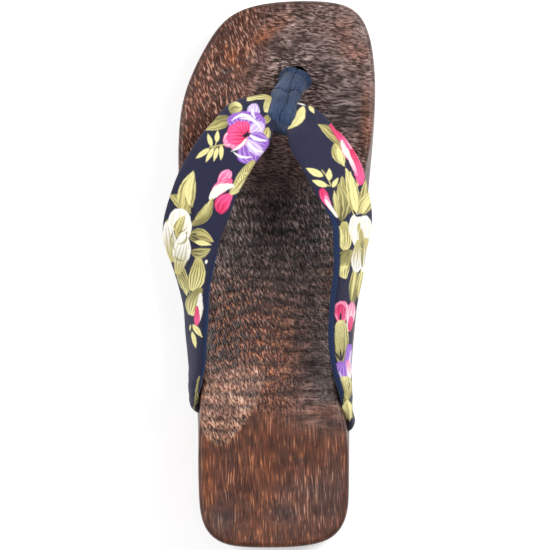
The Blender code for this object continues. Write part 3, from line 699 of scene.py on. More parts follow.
# Soft spots on the wood's top: middle and radii in photo pixels, turn in degrees, and strength.
WARM_SPOTS = (
    (131, 34, 26, 7, 38, 0.75),
    (95, 56, 15, 9, -55, 0.55),
    (222, 48, 14, 12, 0, 0.8),
    (234, 118, 7, 34, 0, 0.95),
    (60, 110, 8, 60, -12, 0.25),
    (100, 375, 46, 10, 22, 0.3),
    (215, 30, 22, 18, 0, 0.3),
    (73, 480, 6, 36, 0, 0.75),
    (132, 462, 9, 40, 0, 0.45),
    (115, 505, 14, 34, 0, 0.35),
    (188, 412, 16, 8, 0, 0.45),
    (186, 450, 34, 14, 0, 0.25),
    (195, 282, 9, 34, 0, 0.35),
)
# Painted grey sheen at the toe's inner side and down the inner middle; the heel's spots are grey patches of
# the wood.
GREY_PATCH_AND_SHEEN_SPOTS = (
    (196, 60, 50, 60, 0, 0.75),
    (150, 70, 26, 40, 0, 0.55),
    (205, 115, 30, 30, 0, 0.8),
    (176, 380, 30, 26, 0, 0.75),
    (170, 310, 22, 60, 0, 0.55),
    (160, 220, 22, 34, 0, 0.4),
    (86, 516, 20, 13, 0, 0.5),
    (150, 512, 18, 12, 0, 0.55),
    (190, 500, 26, 40, 0, 0.4),
    (160, 488, 40, 10, 0, 0.3),
)
# Painted shadow along the inner strap's side, and dark patches of the wood elsewhere, most at the heel.
STRAP_SHADOW_AND_DARK_SPOTS = (
    (187, 212, 7, 46, -18, 0.7),
    (194, 262, 7, 34, 0, 0.55),
    (197, 320, 5, 40, 0, 0.35),
    (88, 345, 24, 24, 0, 0.35),
    (86, 516, 18, 11, 0, 0.7),
    (112, 489, 17, 9, 0, 0.65),
    (148, 514, 15, 10, 0, 0.5),
    (150, 440, 34, 6, 0, 0.5),
    (122, 398, 10, 14, 0, 0.3),
    (172, 456, 18, 10, 0, 0.55),
    (196, 424, 20, 5, 0, 0.5),
)
# Painted sheen: painted reflection at the toe's corner and inner edge, and painted light lifting the middle
# where the strap's shadow falls.
PAINTED_SHEEN_SPOTS = (
    (225, 36, 13, 22, -30, 0.95),
    (236, 70, 7, 24, 0, 0.75),
    (200, 14, 34, 8, 0, 0.55),
    (236, 112, 6, 22, 0, 0.6),
    (160, 30, 34, 10, 0, 0.2),
    (126, 210, 34, 58, -12, 0.5),
    (150, 158, 22, 24, 0, 0.3),
    (140, 280, 46, 44, 0, 0.26),
)
CONTOURED_SPOTS = (
    (212, 108, 24, 22, 0, 1.0),
    (196, 66, 16, 10, 0, 0.6),
    (176, 40, 40, 14, 0, 0.4),
    (182, 372, 24, 36, 0, 0.6),
    (186, 418, 26, 14, 0, 0.4),
)
# Edge of the pale patch at the outer side of the heel, and growth lines with their strengths, in photo
# pixels.
PATCH_EDGE = (
    (72, 362), (110, 352), (129, 372), (127, 388), (120, 406), (111, 422), (103, 432), (92, 443), (83, 445),
    (75, 441), (68, 430), (63, 400), (72, 362),
)
GROWTH_LINES = (
    (0.25, ((150, 427), (168, 423), (185, 425), (200, 431), (216, 437))),
    (0.5, ((178, 340), (150, 366), (128, 384), (112, 384))),
    (0.35, ((204, 356), (186, 372), (160, 392), (150, 408))),
    (0.4, ((68, 392), (84, 386), (104, 378), (126, 360))),
    (0.2, ((120, 470), (128, 500), (134, 520), (150, 522), (166, 508), (186, 500))),
)
RED_WOOD, GREY_PATCH_AND_SHEEN_WOOD, PAINTED_SHEEN_WOOD = linear(92, 44, 28), linear(84, 72, 71), linear(158, 134, 128)
WARM_WOOD, PALE_WOOD = linear(140, 76, 42), linear(172, 116, 92)
RED_FIBRE, GREY_PATCH_AND_SHEEN_FIBRE, PALE_FIBRE = linear(186, 108, 62), linear(160, 142, 138), linear(214, 166, 138)
LIT_WOOD = linear(190, 140, 110)
# Where one look of the wood's top gives way to another, in photo pixels: where each change starts and
# ends. The outer one slants by so many pixels across for one down, from a row of the photo.
TOE_CHANGE, OUTER_CHANGE, HEEL_CHANGE = (205, 165), (142, 108), (392, 425)
OUTER_SLANT, OUTER_SLANT_ROW = 0.22, 60
INNER_CHANGE, WAIST_CHANGE, INNER_SHARE = (128, 172), (225, 300), 0.55
RED_DOWN, RED_ACROSS = (240, 315), (190, 130)
PATCH_RIM, PATCH_FADE, PATCH_LINE_FADE = (-0.6, 0.9), (352, 392), (372, 400)
# Cross bands of the wood in photo pixels: their pitch, and how far they sway.
BAND_PITCH, BAND_SWAY, BAND_RIPPLE = 12.5, 6, 1.5
# Relief of the footbed in millimetres: waves, fine waves, growth lines, the pale patch and the bands.
WAVE_RELIEF, LINE_RELIEF, PATCH_RELIEF, BAND_RELIEF = 0.10, 0.22, 0.12, 0.12
# The wood's side starts so far below the footbed and is all side from there; the brushed rim's width.
SIDE_STARTS, SIDE_FULL, RIM_WIDTH = 2.5 * MM, 5 * MM, 1.8 * MM


def soft_spots(x, y, rows):
    """Sum of soft ovals at photo pixels, each a bell curve of the distance in its own radii, at most 1."""
    total = np.zeros(len(x))
    for across, down, wide, tall, turn, strength in rows:
        c, s = math.cos(math.radians(turn)), math.sin(math.radians(turn))
        u = ((x - across) * c - (y - down) * s) / wide
        v = ((x - across) * s + (y - down) * c) / tall
        total += strength * np.exp(-1.2 * (u * u + v * v))
    return np.clip(total, 0, 1)


def distance_to(x, y, line):
    """Distance of points from a line of points, and the line's turn about them when it is closed."""
    line = np.asarray(line, float)
    best, turn = np.full(len(x), np.inf), np.zeros(len(x))
    for (x0, y0), (x1, y1) in zip(line[:-1], line[1:]):
        dx, dy = x1 - x0, y1 - y0
        share = np.clip(((x - x0) * dx + (y - y0) * dy) / (dx * dx + dy * dy), 0, 1)
        best = np.minimum(best, np.hypot(x - x0 - share * dx, y - y0 - share * dy))
        start, end = np.arctan2(y0 - y, x0 - x), np.arctan2(y1 - y, x1 - x)
        turn += (end - start + math.pi) % (2 * math.pi) - math.pi
    return best, turn


def smooth_line(points):
    """Places along the smooth curve through the points, closed where the last is the first."""
    points = np.asarray(points, float)
    knots = chord_knots(points)
    closed = bool((points[0] == points[-1]).all())
    return cubic_through(knots, points, np.linspace(0, knots[-1], CURVE_SAMPLES), closed)


def wood_fields(x, y):
    """Masks of the wood's top at plan x, y: weights of the fibre kinds, then shares of the warm look, of grey
    patches with painted sheen, of painted strap shadow with dark patches, of the red and pale looks and of
    painted sheen, the gloss, the growth lines with the pale patch's edge, and the cross bands."""
    across, down = photo_pixel(x, y)
    wander = 9 * value_noise(across, down, 26, 26, 3)
    toe = smooth_step(*TOE_CHANGE, down + wander)
    outer = smooth_step(*OUTER_CHANGE, across + OUTER_SLANT * (down - OUTER_SLANT_ROW) + wander)
    heel = smooth_step(*HEEL_CHANGE, down + wander)
    inner = smooth_step(*INNER_CHANGE, across + wander) * smooth_step(*WAIST_CHANGE, down)
    patch, turn = distance_to(across, down, smooth_line(PATCH_EDGE))
    patch = np.where(np.abs(turn) > math.pi, patch, -patch)
    contour = np.clip(1.3 * soft_spots(across, down, CONTOURED_SPOTS), 0, 0.85)
    pale = smooth_step(*PATCH_RIM, patch) * smooth_step(*PATCH_FADE, down)
    heel = heel * (1 - pale)
    red = smooth_step(*RED_DOWN, down) * smooth_step(*RED_ACROSS, across) * (1 - heel) * (1 - pale)
    waist = (1 - toe) * (1 - heel)
    weights = {
        "slanted": toe * outer * (1 - contour),
        "rippled": (toe * (1 - outer) + waist * inner * INNER_SHARE) * (1 - contour),
        "contoured": contour,
        "flecked": waist * (1 - INNER_SHARE * inner) * (1 - contour),
        "lined": (1 - toe) * heel * (1 - contour),
    }
    line = np.zeros(len(x))
    for strength, points in GROWTH_LINES:
        far, _ = distance_to(across, down, smooth_line(points))
        line = np.maximum(line, strength * bell(far, 1.1))
    line = np.maximum(line, 0.9 * smooth_step(*PATCH_LINE_FADE, down) * bell(patch - 0.6, 0.9))
    sway = BAND_SWAY * value_noise(across, down, 60, 50, 8) + BAND_RIPPLE * np.sin(across / 15)
    bands = 0.5 + 0.5 * np.sin((down + sway) * 2 * math.pi / BAND_PITCH)
    return weights, {
        "warm": soft_spots(across, down, WARM_SPOTS),
        # grey: painted sheen at the toe and inner middle, grey patches of the wood at the heel.
        "grey": soft_spots(across, down, GREY_PATCH_AND_SHEEN_SPOTS),
        "strap_shadow_and_dark": soft_spots(across, down, STRAP_SHADOW_AND_DARK_SPOTS),
        "red": red,
        "pale": pale,
        # sheen: painted reflection and painted light.
        "sheen": soft_spots(across, down, PAINTED_SHEEN_SPOTS),
        "gloss": 1 - 0.75 * heel - 0.35 * weights["slanted"] - 0.35 * red,
        "line": line,
        "bands": bands**2 * waist,
    }


def put_wood_masks(piece, outline_ring):
    """Masks and colours of the wood as attributes, from the final positions."""
    co = positions(piece)
    weights, fields = wood_fields(co[:, 0], co[:, 1])
    edge, _ = distance_to(co[:, 0], co[:, 1], np.vstack([outline_ring, outline_ring[:1]]))
    level = footbed_level(co[:, 1])
    side = smooth_step(level - SIDE_STARTS, level - SIDE_FULL, co[:, 2])
    rim = np.clip(bell(edge, RIM_WIDTH) + side, 0, 1)
    ground = sum(weight[:, None] * linear(*FIBRE_COLOURS[name][0]) for name, weight in weights.items())
    fibre = sum(weight[:, None] * linear(*FIBRE_COLOURS[name][1]) for name, weight in weights.items())
    # The grey share is partly painted sheen, partly grey patches of the wood.
    for share, under, over in (("grey", GREY_PATCH_AND_SHEEN_WOOD, GREY_PATCH_AND_SHEEN_FIBRE), ("red", RED_WOOD, RED_FIBRE),
                               ("warm", WARM_WOOD, RED_FIBRE), ("sheen", PAINTED_SHEEN_WOOD, PAINTED_SHEEN_WOOD),
                               ("pale", PALE_WOOD, PALE_FIBRE)):
        share = (fields[share] * (1 - side) * 0.85)[:, None]
        ground = ground * (1 - share) + under * share
        fibre = fibre * (1 - share) + over * share
    # Painted strap shadow, dark patches and the cross bands darken the ground and the fibres.
    shade = (np.clip(fields["strap_shadow_and_dark"] * 0.7 + fields["bands"] * 0.7, 0, 1) * (1 - side))[:, None]
    ground, fibre = ground * (1 - shade), fibre * (1 - shade * 0.9)
    lit = (fields["line"] * 0.6 * (1 - side))[:, None]
    ground = ground * (1 - lit) + LIT_WOOD * lit
    smoother = (rim * 0.75)[:, None]
    put_colour(piece, "ground", ground * (1 - 0.25 * smoother))
    put_colour(piece, "fibre", fibre * (1 - smoother) + ground * smoother)
    put_value(piece, "gloss", fields["gloss"] * (1 - 0.8 * rim))
    for name, weight in weights.items():
        put_value(piece, name, weight)


def make_base(wood):
    """The wooden body, as closed rings: out from the footbed's spine (its level less a dish that fades
    as the square of the way out), a quarter circle over the edge, down the side as a sine, a quarter
    circle in, and back below. The footbed also carries waves, growth lines and the pale patch's step."""
    outer_top, inner_top, outer_low, inner_low = outline(BASE_SAMPLES)
    top_ring, low_ring = loop_of(outer_top, inner_top), loop_of(outer_low, inner_low)
    top_in = top_ring + inward_normals(top_ring) * TOP_EDGE_RADIUS
    low_in = low_ring + inward_normals(low_ring) * LOW_EDGE_RADIUS
    middle = (outer_low + inner_low) / 2
    spine_along = SPINE_INSET + (1 - 2 * SPINE_INSET) * (middle[:, 1] + HEEL_BACK) / LENGTH
    spine = np.column_stack([middle[:, 0] * SPINE_BEND, along_to_y(spine_along)])
    spine_ring = loop_of(spine, spine)
    edge_level = footbed_level(top_in[:, 1])
    wall_top = edge_level - TOP_EDGE_RADIUS
    wall_foot = underside_level(low_in[:, 1]) + LOW_EDGE_RADIUS

    rings = []
    for share in np.linspace(0, 1, TOP_RINGS):
        plan = spine_ring + (top_in - spine_ring) * share
        rise = footbed_level(plan[:, 1]) - FOOTBED_DISH * (1 - share**2)
        across, down = photo_pixel(plan[:, 0], plan[:, 1])
        waves, fine = value_noise(across, down, 9, 26, 5), value_noise(across, down, 14, 5, 6)
        _, fields = wood_fields(plan[:, 0], plan[:, 1])
        relief = WAVE_RELIEF * waves + WAVE_RELIEF * fine + LINE_RELIEF * fields["line"]
        relief = relief + PATCH_RELIEF * fields["pale"] - BAND_RELIEF * fields["bands"]
        rings.append(np.column_stack([plan, rise + relief * MM * smooth_step(1, 0.9, share)]))
    for turn in np.radians(np.linspace(0, 90, EDGE_RINGS + 1)[1:]):
        plan = top_in + (top_ring - top_in) * math.sin(turn)
        rings.append(np.column_stack([plan, edge_level - TOP_EDGE_RADIUS * (1 - math.cos(turn))]))
    for share in np.linspace(0, 1, WALL_RINGS + 1)[1:]:
        plan = top_ring + (low_ring - top_ring) * math.sin(share * math.pi / 2)
        rings.append(np.column_stack([plan, wall_top + (wall_foot - wall_top) * share]))
    for turn in np.radians(np.linspace(0, 90, FOOT_RINGS + 1)[1:]):
        plan = low_ring + (low_in - low_ring) * (1 - math.cos(turn))
        rings.append(np.column_stack([plan, wall_foot - LOW_EDGE_RADIUS * math.sin(turn)]))
    for share in np.linspace(1, 0, UNDER_RINGS + 1)[1:]:
        plan = spine_ring + (low_in - spine_ring) * share
        rings.append(np.column_stack([plan, underside_level(plan[:, 1])]))

    size, count = len(top_ring), len(rings)
    quads = ring_quads(count, size)
    same = np.arange(count * size)
    for ring in (0, count - 1):
        k = np.arange(BASE_SAMPLES + 1, size)
        same[ring * size + k] = ring * size + size - k
    used, quads = np.unique(same[quads], return_inverse=True)
    base = mesh_piece("cedar_base", np.concatenate(rings)[used], quads.reshape(-1, 4))
    low, high = TREAD_THICKNESS + GAP - 2 * MM, HEEL_HEIGHT + TOE_LIFT
    turn = np.linspace(0, 2 * math.pi, BORE_ROUND, endpoint=False)
    hole = toe_hole() - (0, BORE_SETBACK) + BORE_RADIUS * np.column_stack([np.cos(turn), np.sin(turn)])
    bore = np.stack([np.column_stack([hole, np.full(BORE_ROUND, z)]) for z in (low, high)])
    cut_away(base, tube_piece("toe_bore", bore), *[strap_cutter(*shares, GAP) for shares in WOOD_CUTS])
    base.data.shade_smooth()
    base.data.set_sharp_from_angle(angle=SHARP_EDGE)
    put_wood_masks(base, top_ring)
    finish_piece(base, wood, "base")


def strap_cutter(first, last, extra):
    """The strap between two shares of its path, as the solids cut it, grown by extra on every side."""
    _, knots, _ = strap_stations()
    shares = np.linspace(0, 1, CUTTER_ROWS)
    shares = shares[(shares >= first) & (shares <= last)]
    angles = np.linspace(0, 2 * math.pi, CUTTER_ROUND, endpoint=False)
    rings = band(strap_path(shares * knots[-1]), angles, extra)
    for end, neighbour in ((0, 1), (-1, -2)):
        rings[end] += unit(rings[end].mean(axis=0) - rings[neighbour].mean(axis=0)) * extra
    return tube_piece("strap_cutter", rings)


# Printed cloth

# SEAM_SHADE_BLUE is painted shade for the hem's fold.
NAVY, LINING_BLUE, SEAM_SHADE_BLUE = linear(36, 36, 62), linear(27, 44, 80), linear(17, 26, 50)
CREAM, STRAW, SAGE = linear(238, 228, 160), linear(208, 196, 128), linear(164, 156, 98)
OLIVE, WHITE, PINK = linear(98, 90, 50), linear(252, 248, 240), linear(246, 132, 178)
ROSE, CRIMSON, LILAC = linear(238, 78, 138), linear(212, 34, 88), linear(206, 178, 234)
VIOLET, INK = linear(146, 92, 196), linear(30, 27, 44)

# How wide each form is along its length, as a share of its greatest width.
FORMS = {
    "leaf": lambda u: np.sin(math.pi * u**0.85) ** 0.9,
    "petal": lambda u: np.sin(math.pi * (0.10 + 0.86 * u) ** 1.35) ** 0.6,
    "bud": lambda u: np.sqrt(np.clip(1 - (2 * u - 1) ** 2, 0, 1)),
    "strip": lambda u: np.clip(12 * u, 0, 1) * np.clip(12 * (1 - u), 0, 1),
}
# Kinds of printed shape: form, colour at the base and at the tip, streak colour, number of streaks, their
# strength, and how much darker the second half is.
KINDS = {
    "cream": ("leaf", CREAM, CREAM, STRAW, 2, 0.5, 0.0),
    "straw": ("leaf", STRAW, CREAM, OLIVE, 3, 0.6, 0.45),
    "sage": ("leaf", SAGE, STRAW, OLIVE, 3, 0.7, 0.7),
    "olive": ("leaf", OLIVE, SAGE, CREAM, 3, 0.5, 0.4),
    "tulip": ("petal", SAGE, CREAM, OLIVE, 5, 0.75, 0.35),
    "fan": ("petal", STRAW, CREAM, OLIVE, 6, 0.85, 0.2),
    "lily": ("petal", STRAW, WHITE, OLIVE, 4, 0.45, 0.1),
    "white": ("petal", WHITE, WHITE, STRAW, 3, 0.35, 0.0),
    "bud": ("bud", SAGE, CREAM, OLIVE, 2, 0.6, 0.4),
    "pink": ("petal", ROSE, PINK, WHITE, 3, 0.35, 0.0),
    "rose": ("petal", CRIMSON, ROSE, PINK, 4, 0.5, 0.0),
    "crimson": ("petal", ROSE, CRIMSON, PINK, 3, 0.35, 0.2),
    "blush": ("petal", WHITE, PINK, WHITE, 3, 0.6, 0.0),
    "lilac": ("petal", LILAC, LILAC, WHITE, 4, 0.7, 0.0),
    "violet": ("petal", VIOLET, VIOLET, LILAC, 5, 0.55, 0.2),
    "swash": ("leaf", WHITE, WHITE, LILAC, 1, 0.4, 0.0),
    "stem": ("strip", STRAW, STRAW, STRAW, 1, 0.0, 0.0),
    "ink": ("leaf", INK, INK, INK, 1, 0.0, 0.0),
    "navy": ("petal", NAVY, NAVY, NAVY, 1, 0.0, 0.0),
}
# Printed shapes in painting order: kind, base and tip in photo pixels, width in pixels, and bend as a
# share of the length, to the right of the way from base to tip when positive.
OUTER_PRINT = (
    ("fan", 137, 100, 112, 99, 13, 0.24),
    ("fan", 136, 94, 131, 113, 9, 0.0),
    ("olive", 135, 115, 128, 126, 7, 0.0),
    ("straw", 133, 128, 128, 143, 9, 0.0),
    ("bud", 94, 111, 107, 107, 13, 0.0),
    ("sage", 98, 119, 71, 131, 13, 0.05),
    ("lilac", 117, 124, 119, 104, 13, 0.0),
    ("violet", 116, 138, 95, 117, 22, 0.1),
    ("violet", 112, 132, 113, 112, 26, 0.0),
    ("violet", 108, 134, 127, 117, 24, 0.0),
    ("lilac", 112, 138, 128, 124, 14, 0.0),
    ("violet", 110, 142, 118, 163, 26, 0.0),
    ("violet", 108, 140, 133, 146, 22, 0.0),
    ("lilac", 110, 140, 127, 155, 11, 0.0),
    ("blush", 112, 136, 89, 144, 17, 0.1),
    ("rose", 112, 136, 93, 130, 16, 0.0),
    ("rose", 113, 137, 100, 124, 15, 0.0),
    ("pink", 112, 138, 96, 148, 12, 0.0),
    ("rose", 112, 137, 92, 139, 15, 0.0),
    ("rose", 112, 135, 108, 122, 11, 0.0),
    ("swash", 96, 122, 122, 124, 3.2, -0.28),
    ("swash", 104, 119, 128, 134, 2.6, -0.2),
    ("swash", 113, 134, 133, 141, 3.4, 0.12),
    ("swash", 112, 138, 96, 152, 3.0, -0.1),
    ("swash", 112, 140, 130, 152, 2.8, 0.2),
    ("swash", 98, 152, 118, 157, 2.4, 0.15),
    ("swash", 117, 108, 121, 120, 2.6, 0.1),
    ("ink", 107, 137, 117, 134, 3.2, 0.0),
    ("ink", 110, 139, 113, 131, 2.4, 0.0),
    ("stem", 74, 148, 91, 145, 1.1, 0.0),
    ("stem", 82, 140, 80, 150, 0.9, 0.0),
    ("stem", 86, 145, 84, 152, 0.9, 0.0),
    ("cream", 77, 147, 73, 134, 4.6, 0.0),
    ("cream", 82, 143, 83, 131, 4.8, 0.0),
    ("cream", 75, 149, 61, 159, 5.2, 0.0),
    ("cream", 79, 148, 71, 163, 4.8, 0.0),
    ("cream", 83, 148, 79, 162, 4.6, 0.0),
    ("cream", 87, 146, 86, 161, 4.6, 0.0),
    ("straw", 119, 160, 93, 197, 14, -0.06),
    ("fan", 117, 163, 103, 182, 6, 0.0),
    ("pink", 84, 186, 95, 171, 12, 0.0),
    ("pink", 97, 180, 78, 194, 12, 0.0),
    ("white", 99, 186, 75, 200, 9, 0.14),
    ("crimson", 96, 195, 84, 213, 15, 0.1),
    ("sage", 56, 214, 34, 195, 14, 0.1),
    ("straw", 50, 216, 59, 171, 18, -0.05),
    ("cream", 55, 206, 60, 174, 7, -0.1),
    ("sage", 57, 226, 78, 198, 12, 0.1),
    ("straw", 60, 220, 76, 200, 5, 0.1),
    ("sage", 52, 236, 79, 242, 15, -0.1),
    ("cream", 60, 242, 77, 245, 5, 0.0),
    ("olive", 55, 252, 76, 249, 11, 0.15),
    ("straw", 44, 262, 52, 296, 10, 0.0),
    ("olive", 43, 264, 55, 294, 6, 0.0),
    ("fan", 64, 258, 58, 291, 17, -0.05),
    ("tulip", 66, 288, 56, 315, 15, 0.08),
    ("lily", 34, 220, 37, 250, 12, 0.0),
    ("lily", 38, 262, 33, 222, 13, 0.0),
    ("white", 46, 236, 44, 209, 22, 0.0),
    ("straw", 43, 238, 51, 215, 10, -0.12),
    ("white", 53, 238, 52, 216, 5, 0.1),
    ("olive", 41, 238, 50, 216, 1.8, -0.22),
    ("olive", 43, 233, 53, 227, 1.5, 0.1),
    ("olive", 42, 236, 53, 232, 1.5, 0.1),
    ("white", 49, 234, 46, 264, 18, 0.0),
    ("lily", 43, 274, 50, 242, 14, 0.0),
    ("olive", 38, 232, 42, 252, 1.6, 0.15),
    ("olive", 52, 234, 42, 244, 2.4, -0.3),
    ("olive", 40, 256, 50, 260, 1.8, 0.2),
    ("ink", 56, 206, 60, 221, 2.4, 0.0),
    ("ink", 59, 209, 57, 222, 1.4, 0.0),
    ("ink", 56, 236, 65, 240, 1.4, 0.0),
    ("ink", 56, 240, 63, 249, 1.6, 0.0),
    ("ink", 57, 234, 63, 234, 1.2, 0.0),
    ("white", 71, 264, 72, 260, 2.4, 0.0),
    ("white", 66, 293, 63, 322, 7, 0.0),
    ("rose", 62, 306, 62, 325, 6, 0.0),
    ("cream", 58, 324, 67, 337, 5.5, 0.0),
    ("cream", 57, 331, 61, 348, 4.5, 0.0),
    ("cream", 56, 324, 55, 331, 1.6, 0.0),
    ("straw", 64, 375, 57, 409, 10, -0.1),
    ("olive", 63, 392, 58, 411, 5, 0.0),
    ("ink", 62, 402, 59, 413, 5, 0.0),
)
INNER_PRINT = (
    ("white", 162, 104, 170, 106, 1.5, 0.0),
    ("cream", 169, 107, 153, 130, 11, -0.08),
    ("cream", 174, 106, 179, 114, 4.5, 0.0),
    ("straw", 231, 150, 221, 190, 7, 0.0),
    ("sage", 207, 147, 183, 125, 12, 0.08),
    ("straw", 199, 144, 209, 167, 12, 0.05),
    ("cream", 202, 148, 207, 164, 6, 0.0),
    ("crimson", 213, 150, 196, 124, 14, 0.1),
    ("pink", 207, 138, 222, 162, 12, 0.1),
    ("white", 206, 141, 222, 160, 6, 0.16),
    ("rose", 215, 150, 226, 185, 11, -0.06),
    ("blush", 211, 152, 222, 176, 4, 0.0),
    ("stem", 186, 170, 196, 187, 1.0, -0.05),
    ("stem", 186, 183, 195, 187, 0.9, 0.0),
    ("cream", 188, 177, 171, 169, 7, 0.0),
    ("cream", 194, 181, 194, 169, 6, 0.0),
    ("cream", 192, 187, 177, 181, 6, 0.0),
    ("cream", 197, 188, 203, 178, 4.6, 0.0),
    ("sage", 214, 214, 207, 176, 12, -0.05),
    ("olive", 206, 222, 203, 184, 15, 0.08),
    ("straw", 203, 218, 199, 190, 6, 0.0),
    ("straw", 219, 216, 210, 168, 12, 0.06),
    ("cream", 221, 214, 215, 172, 8, 0.0),
    ("sage", 225, 218, 232, 176, 13, 0.05),
    ("straw", 224, 216, 238, 190, 13, 0.0),
    ("cream", 226, 214, 236, 196, 4.5, 0.0),
    ("crimson", 193, 206, 186, 189, 8, 0.0),
    ("pink", 196, 211, 190, 196, 5, 0.0),
    ("white", 202, 218, 190, 200, 3.4, 0.0),
    ("fan", 209, 222, 210, 250, 15, 0.0),
    ("cream", 204, 226, 206, 248, 5, 0.0),
    ("sage", 217, 250, 205, 270, 15, 0.1),
    ("tulip", 216, 256, 208, 278, 15, 0.2),
    ("cream", 213, 266, 204, 275, 4.5, 0.2),
    ("sage", 217, 304, 221, 264, 10, 0.0),
    ("straw", 224, 300, 228, 266, 9, 0.0),
    ("cream", 221, 268, 216, 300, 2.5, 0.0),
    ("white", 222, 246, 222, 214, 17, 0.0),
    ("white", 230, 244, 229, 216, 14, 0.0),
    ("lily", 224, 240, 221, 272, 12, 0.0),
    ("lily", 231, 238, 229, 272, 12, 0.0),
    ("olive", 227, 268, 227, 236, 2.6, 0.0),
    ("straw", 226, 228, 226, 250, 5, 0.0),
    ("olive", 227, 249, 227, 236, 3.6, 0.0),
    ("straw", 224, 222, 223, 236, 3, 0.0),
    ("ink", 220, 216, 229, 215, 3.0, 0.0),
    ("ink", 217, 210, 222, 218, 2.0, 0.0),
    ("white", 204, 254, 204.4, 249, 1.6, 0.0),
    ("ink", 203, 252, 208, 251, 1.2, 0.0),
    ("pink", 206, 324, 207, 301, 15, 0.0),
    ("blush", 214, 331, 217, 302, 9, 0.0),
    ("crimson", 206, 322, 205, 304, 10, 0.0),
    ("rose", 215, 331, 216, 316, 6, 0.0),
    ("ink", 205, 321, 205.6, 312, 2.2, 0.0),
    ("tulip", 206, 364, 206, 320, 16, 0.0),
    ("fan", 205, 352, 203, 322, 8, 0.0),
    ("ink", 206, 361, 199, 350, 1.8, 0.0),
    ("ink", 206, 361, 205, 347, 1.8, 0.0),
    ("ink", 206, 361, 210, 349, 1.6, 0.0),
    ("violet", 214, 380, 215, 344, 10, 0.0),
    ("lilac", 215, 378, 216, 350, 4, 0.0),
    ("violet", 206, 361, 205, 383, 15, 0.0),
    ("lilac", 201, 368, 207, 376, 2.0, 0.0),
    ("lilac", 202, 374, 208, 378, 1.8, 0.0),
    ("blush", 216, 382, 213, 360, 5, 0.0),
    ("tulip", 210, 402, 211, 376, 19, 0.0),
    ("fan", 213, 398, 207, 379, 8, 0.0),
    ("cream", 214, 422, 213, 398, 12, 0.0),
    ("straw", 215, 426, 212, 402, 5, 0.0),
    ("sage", 219, 418, 219, 398, 3, 0.0),
    ("ink", 215, 433, 214, 418, 6, 0.0),
)
# Width in pixels of the lining that shows past the strap's instep edge, by photo row: row, outer and
# inner half.
LINING_SHOWN = (
    (90, -6, -6), (192, -6, -5), (204, -5, 0), (216, -3, 5), (230, 0, 7), (260, 2.5, 7), (330, 4.5, 6.5),
    (372, 4.5, 6.5), (392, 3, 6), (404, -3, 2), (420, -4, -4),
)
# How far the cloth eases away from the instep beside the toe loop, in mm: along from the bend, then the
# move of the front edge and of the instep edge.
OUTER_EASE = (
    (0, 0.0, 0.0), (1, 1.4, 0.5), (2, 4.2, 1.5), (4, 5.8, 3.0), (8, 5.2, 3.2), (12, 4.2, 2.5),
    (15, 3.3, 2.1), (18, 2.0, 2.4), (22, 0.5, 3.1), (27, 0.0, 3.4), (34, 0.0, 3.2), (42, 0.0, 3.0),
    (54, 0.0, 2.0), (66, 0.0, 0.9), (78, 0.0, 0.0),
)
INNER_EASE = (
    (0, 0.0, 0.0), (1, 0.8, 0.0), (3, 3.2, 0.0), (8, 3.9, 0.0), (12, 2.8, 0.0), (18, 1.7, 0.0),
    (23, 0.6, 0.0), (36, 0.0, 0.0), (46, -0.8, 0.0), (58, -1.5, 0.0), (76, -2.2, 0.0), (92, -1.6, 0.0),
    (110, -0.4, 0.0), (122, 0.0, 0.0),
)
# The part of the strap's oval that is drawn finely, in radians, and how much coarser the rest is.
FINE_FROM, FINE_TO, COARSE_SHARE = -0.5, math.pi + 0.7, 0.34
# Relief of the cloth: height in millimetres, then lumps along and round. Folds fade away from the loop,
# and creases lie about a place away from the wood.
FOLD_HEIGHT, FOLD_LONG, FOLD_WIDE, FOLD_REACH = 0.55, 14 * MM, 2.6 * MM, 13 * MM
SWELL_HEIGHT, SWELL_LONG, SWELL_WIDE = 0.22, 11 * MM, 9 * MM
CREASE_HEIGHT, CREASE_LONG, CREASE_WIDE = 0.28, 3.2 * MM, 12 * MM
CREASE_PLACE, CREASE_REACH = 26 * MM, 14 * MM
HEM_DIP, HEM_STEP, SEAM_SHADE = 0.30, 0.16, 0.55
# Relief stops short of the strap's ends: none and full, away from the bend and from the end in the wood.
BEND_FADE, WOOD_FADE = (0, 6 * MM), (4 * MM, 12 * MM)
LINED_FROM, LINED_FULL = math.radians(205), math.radians(212)


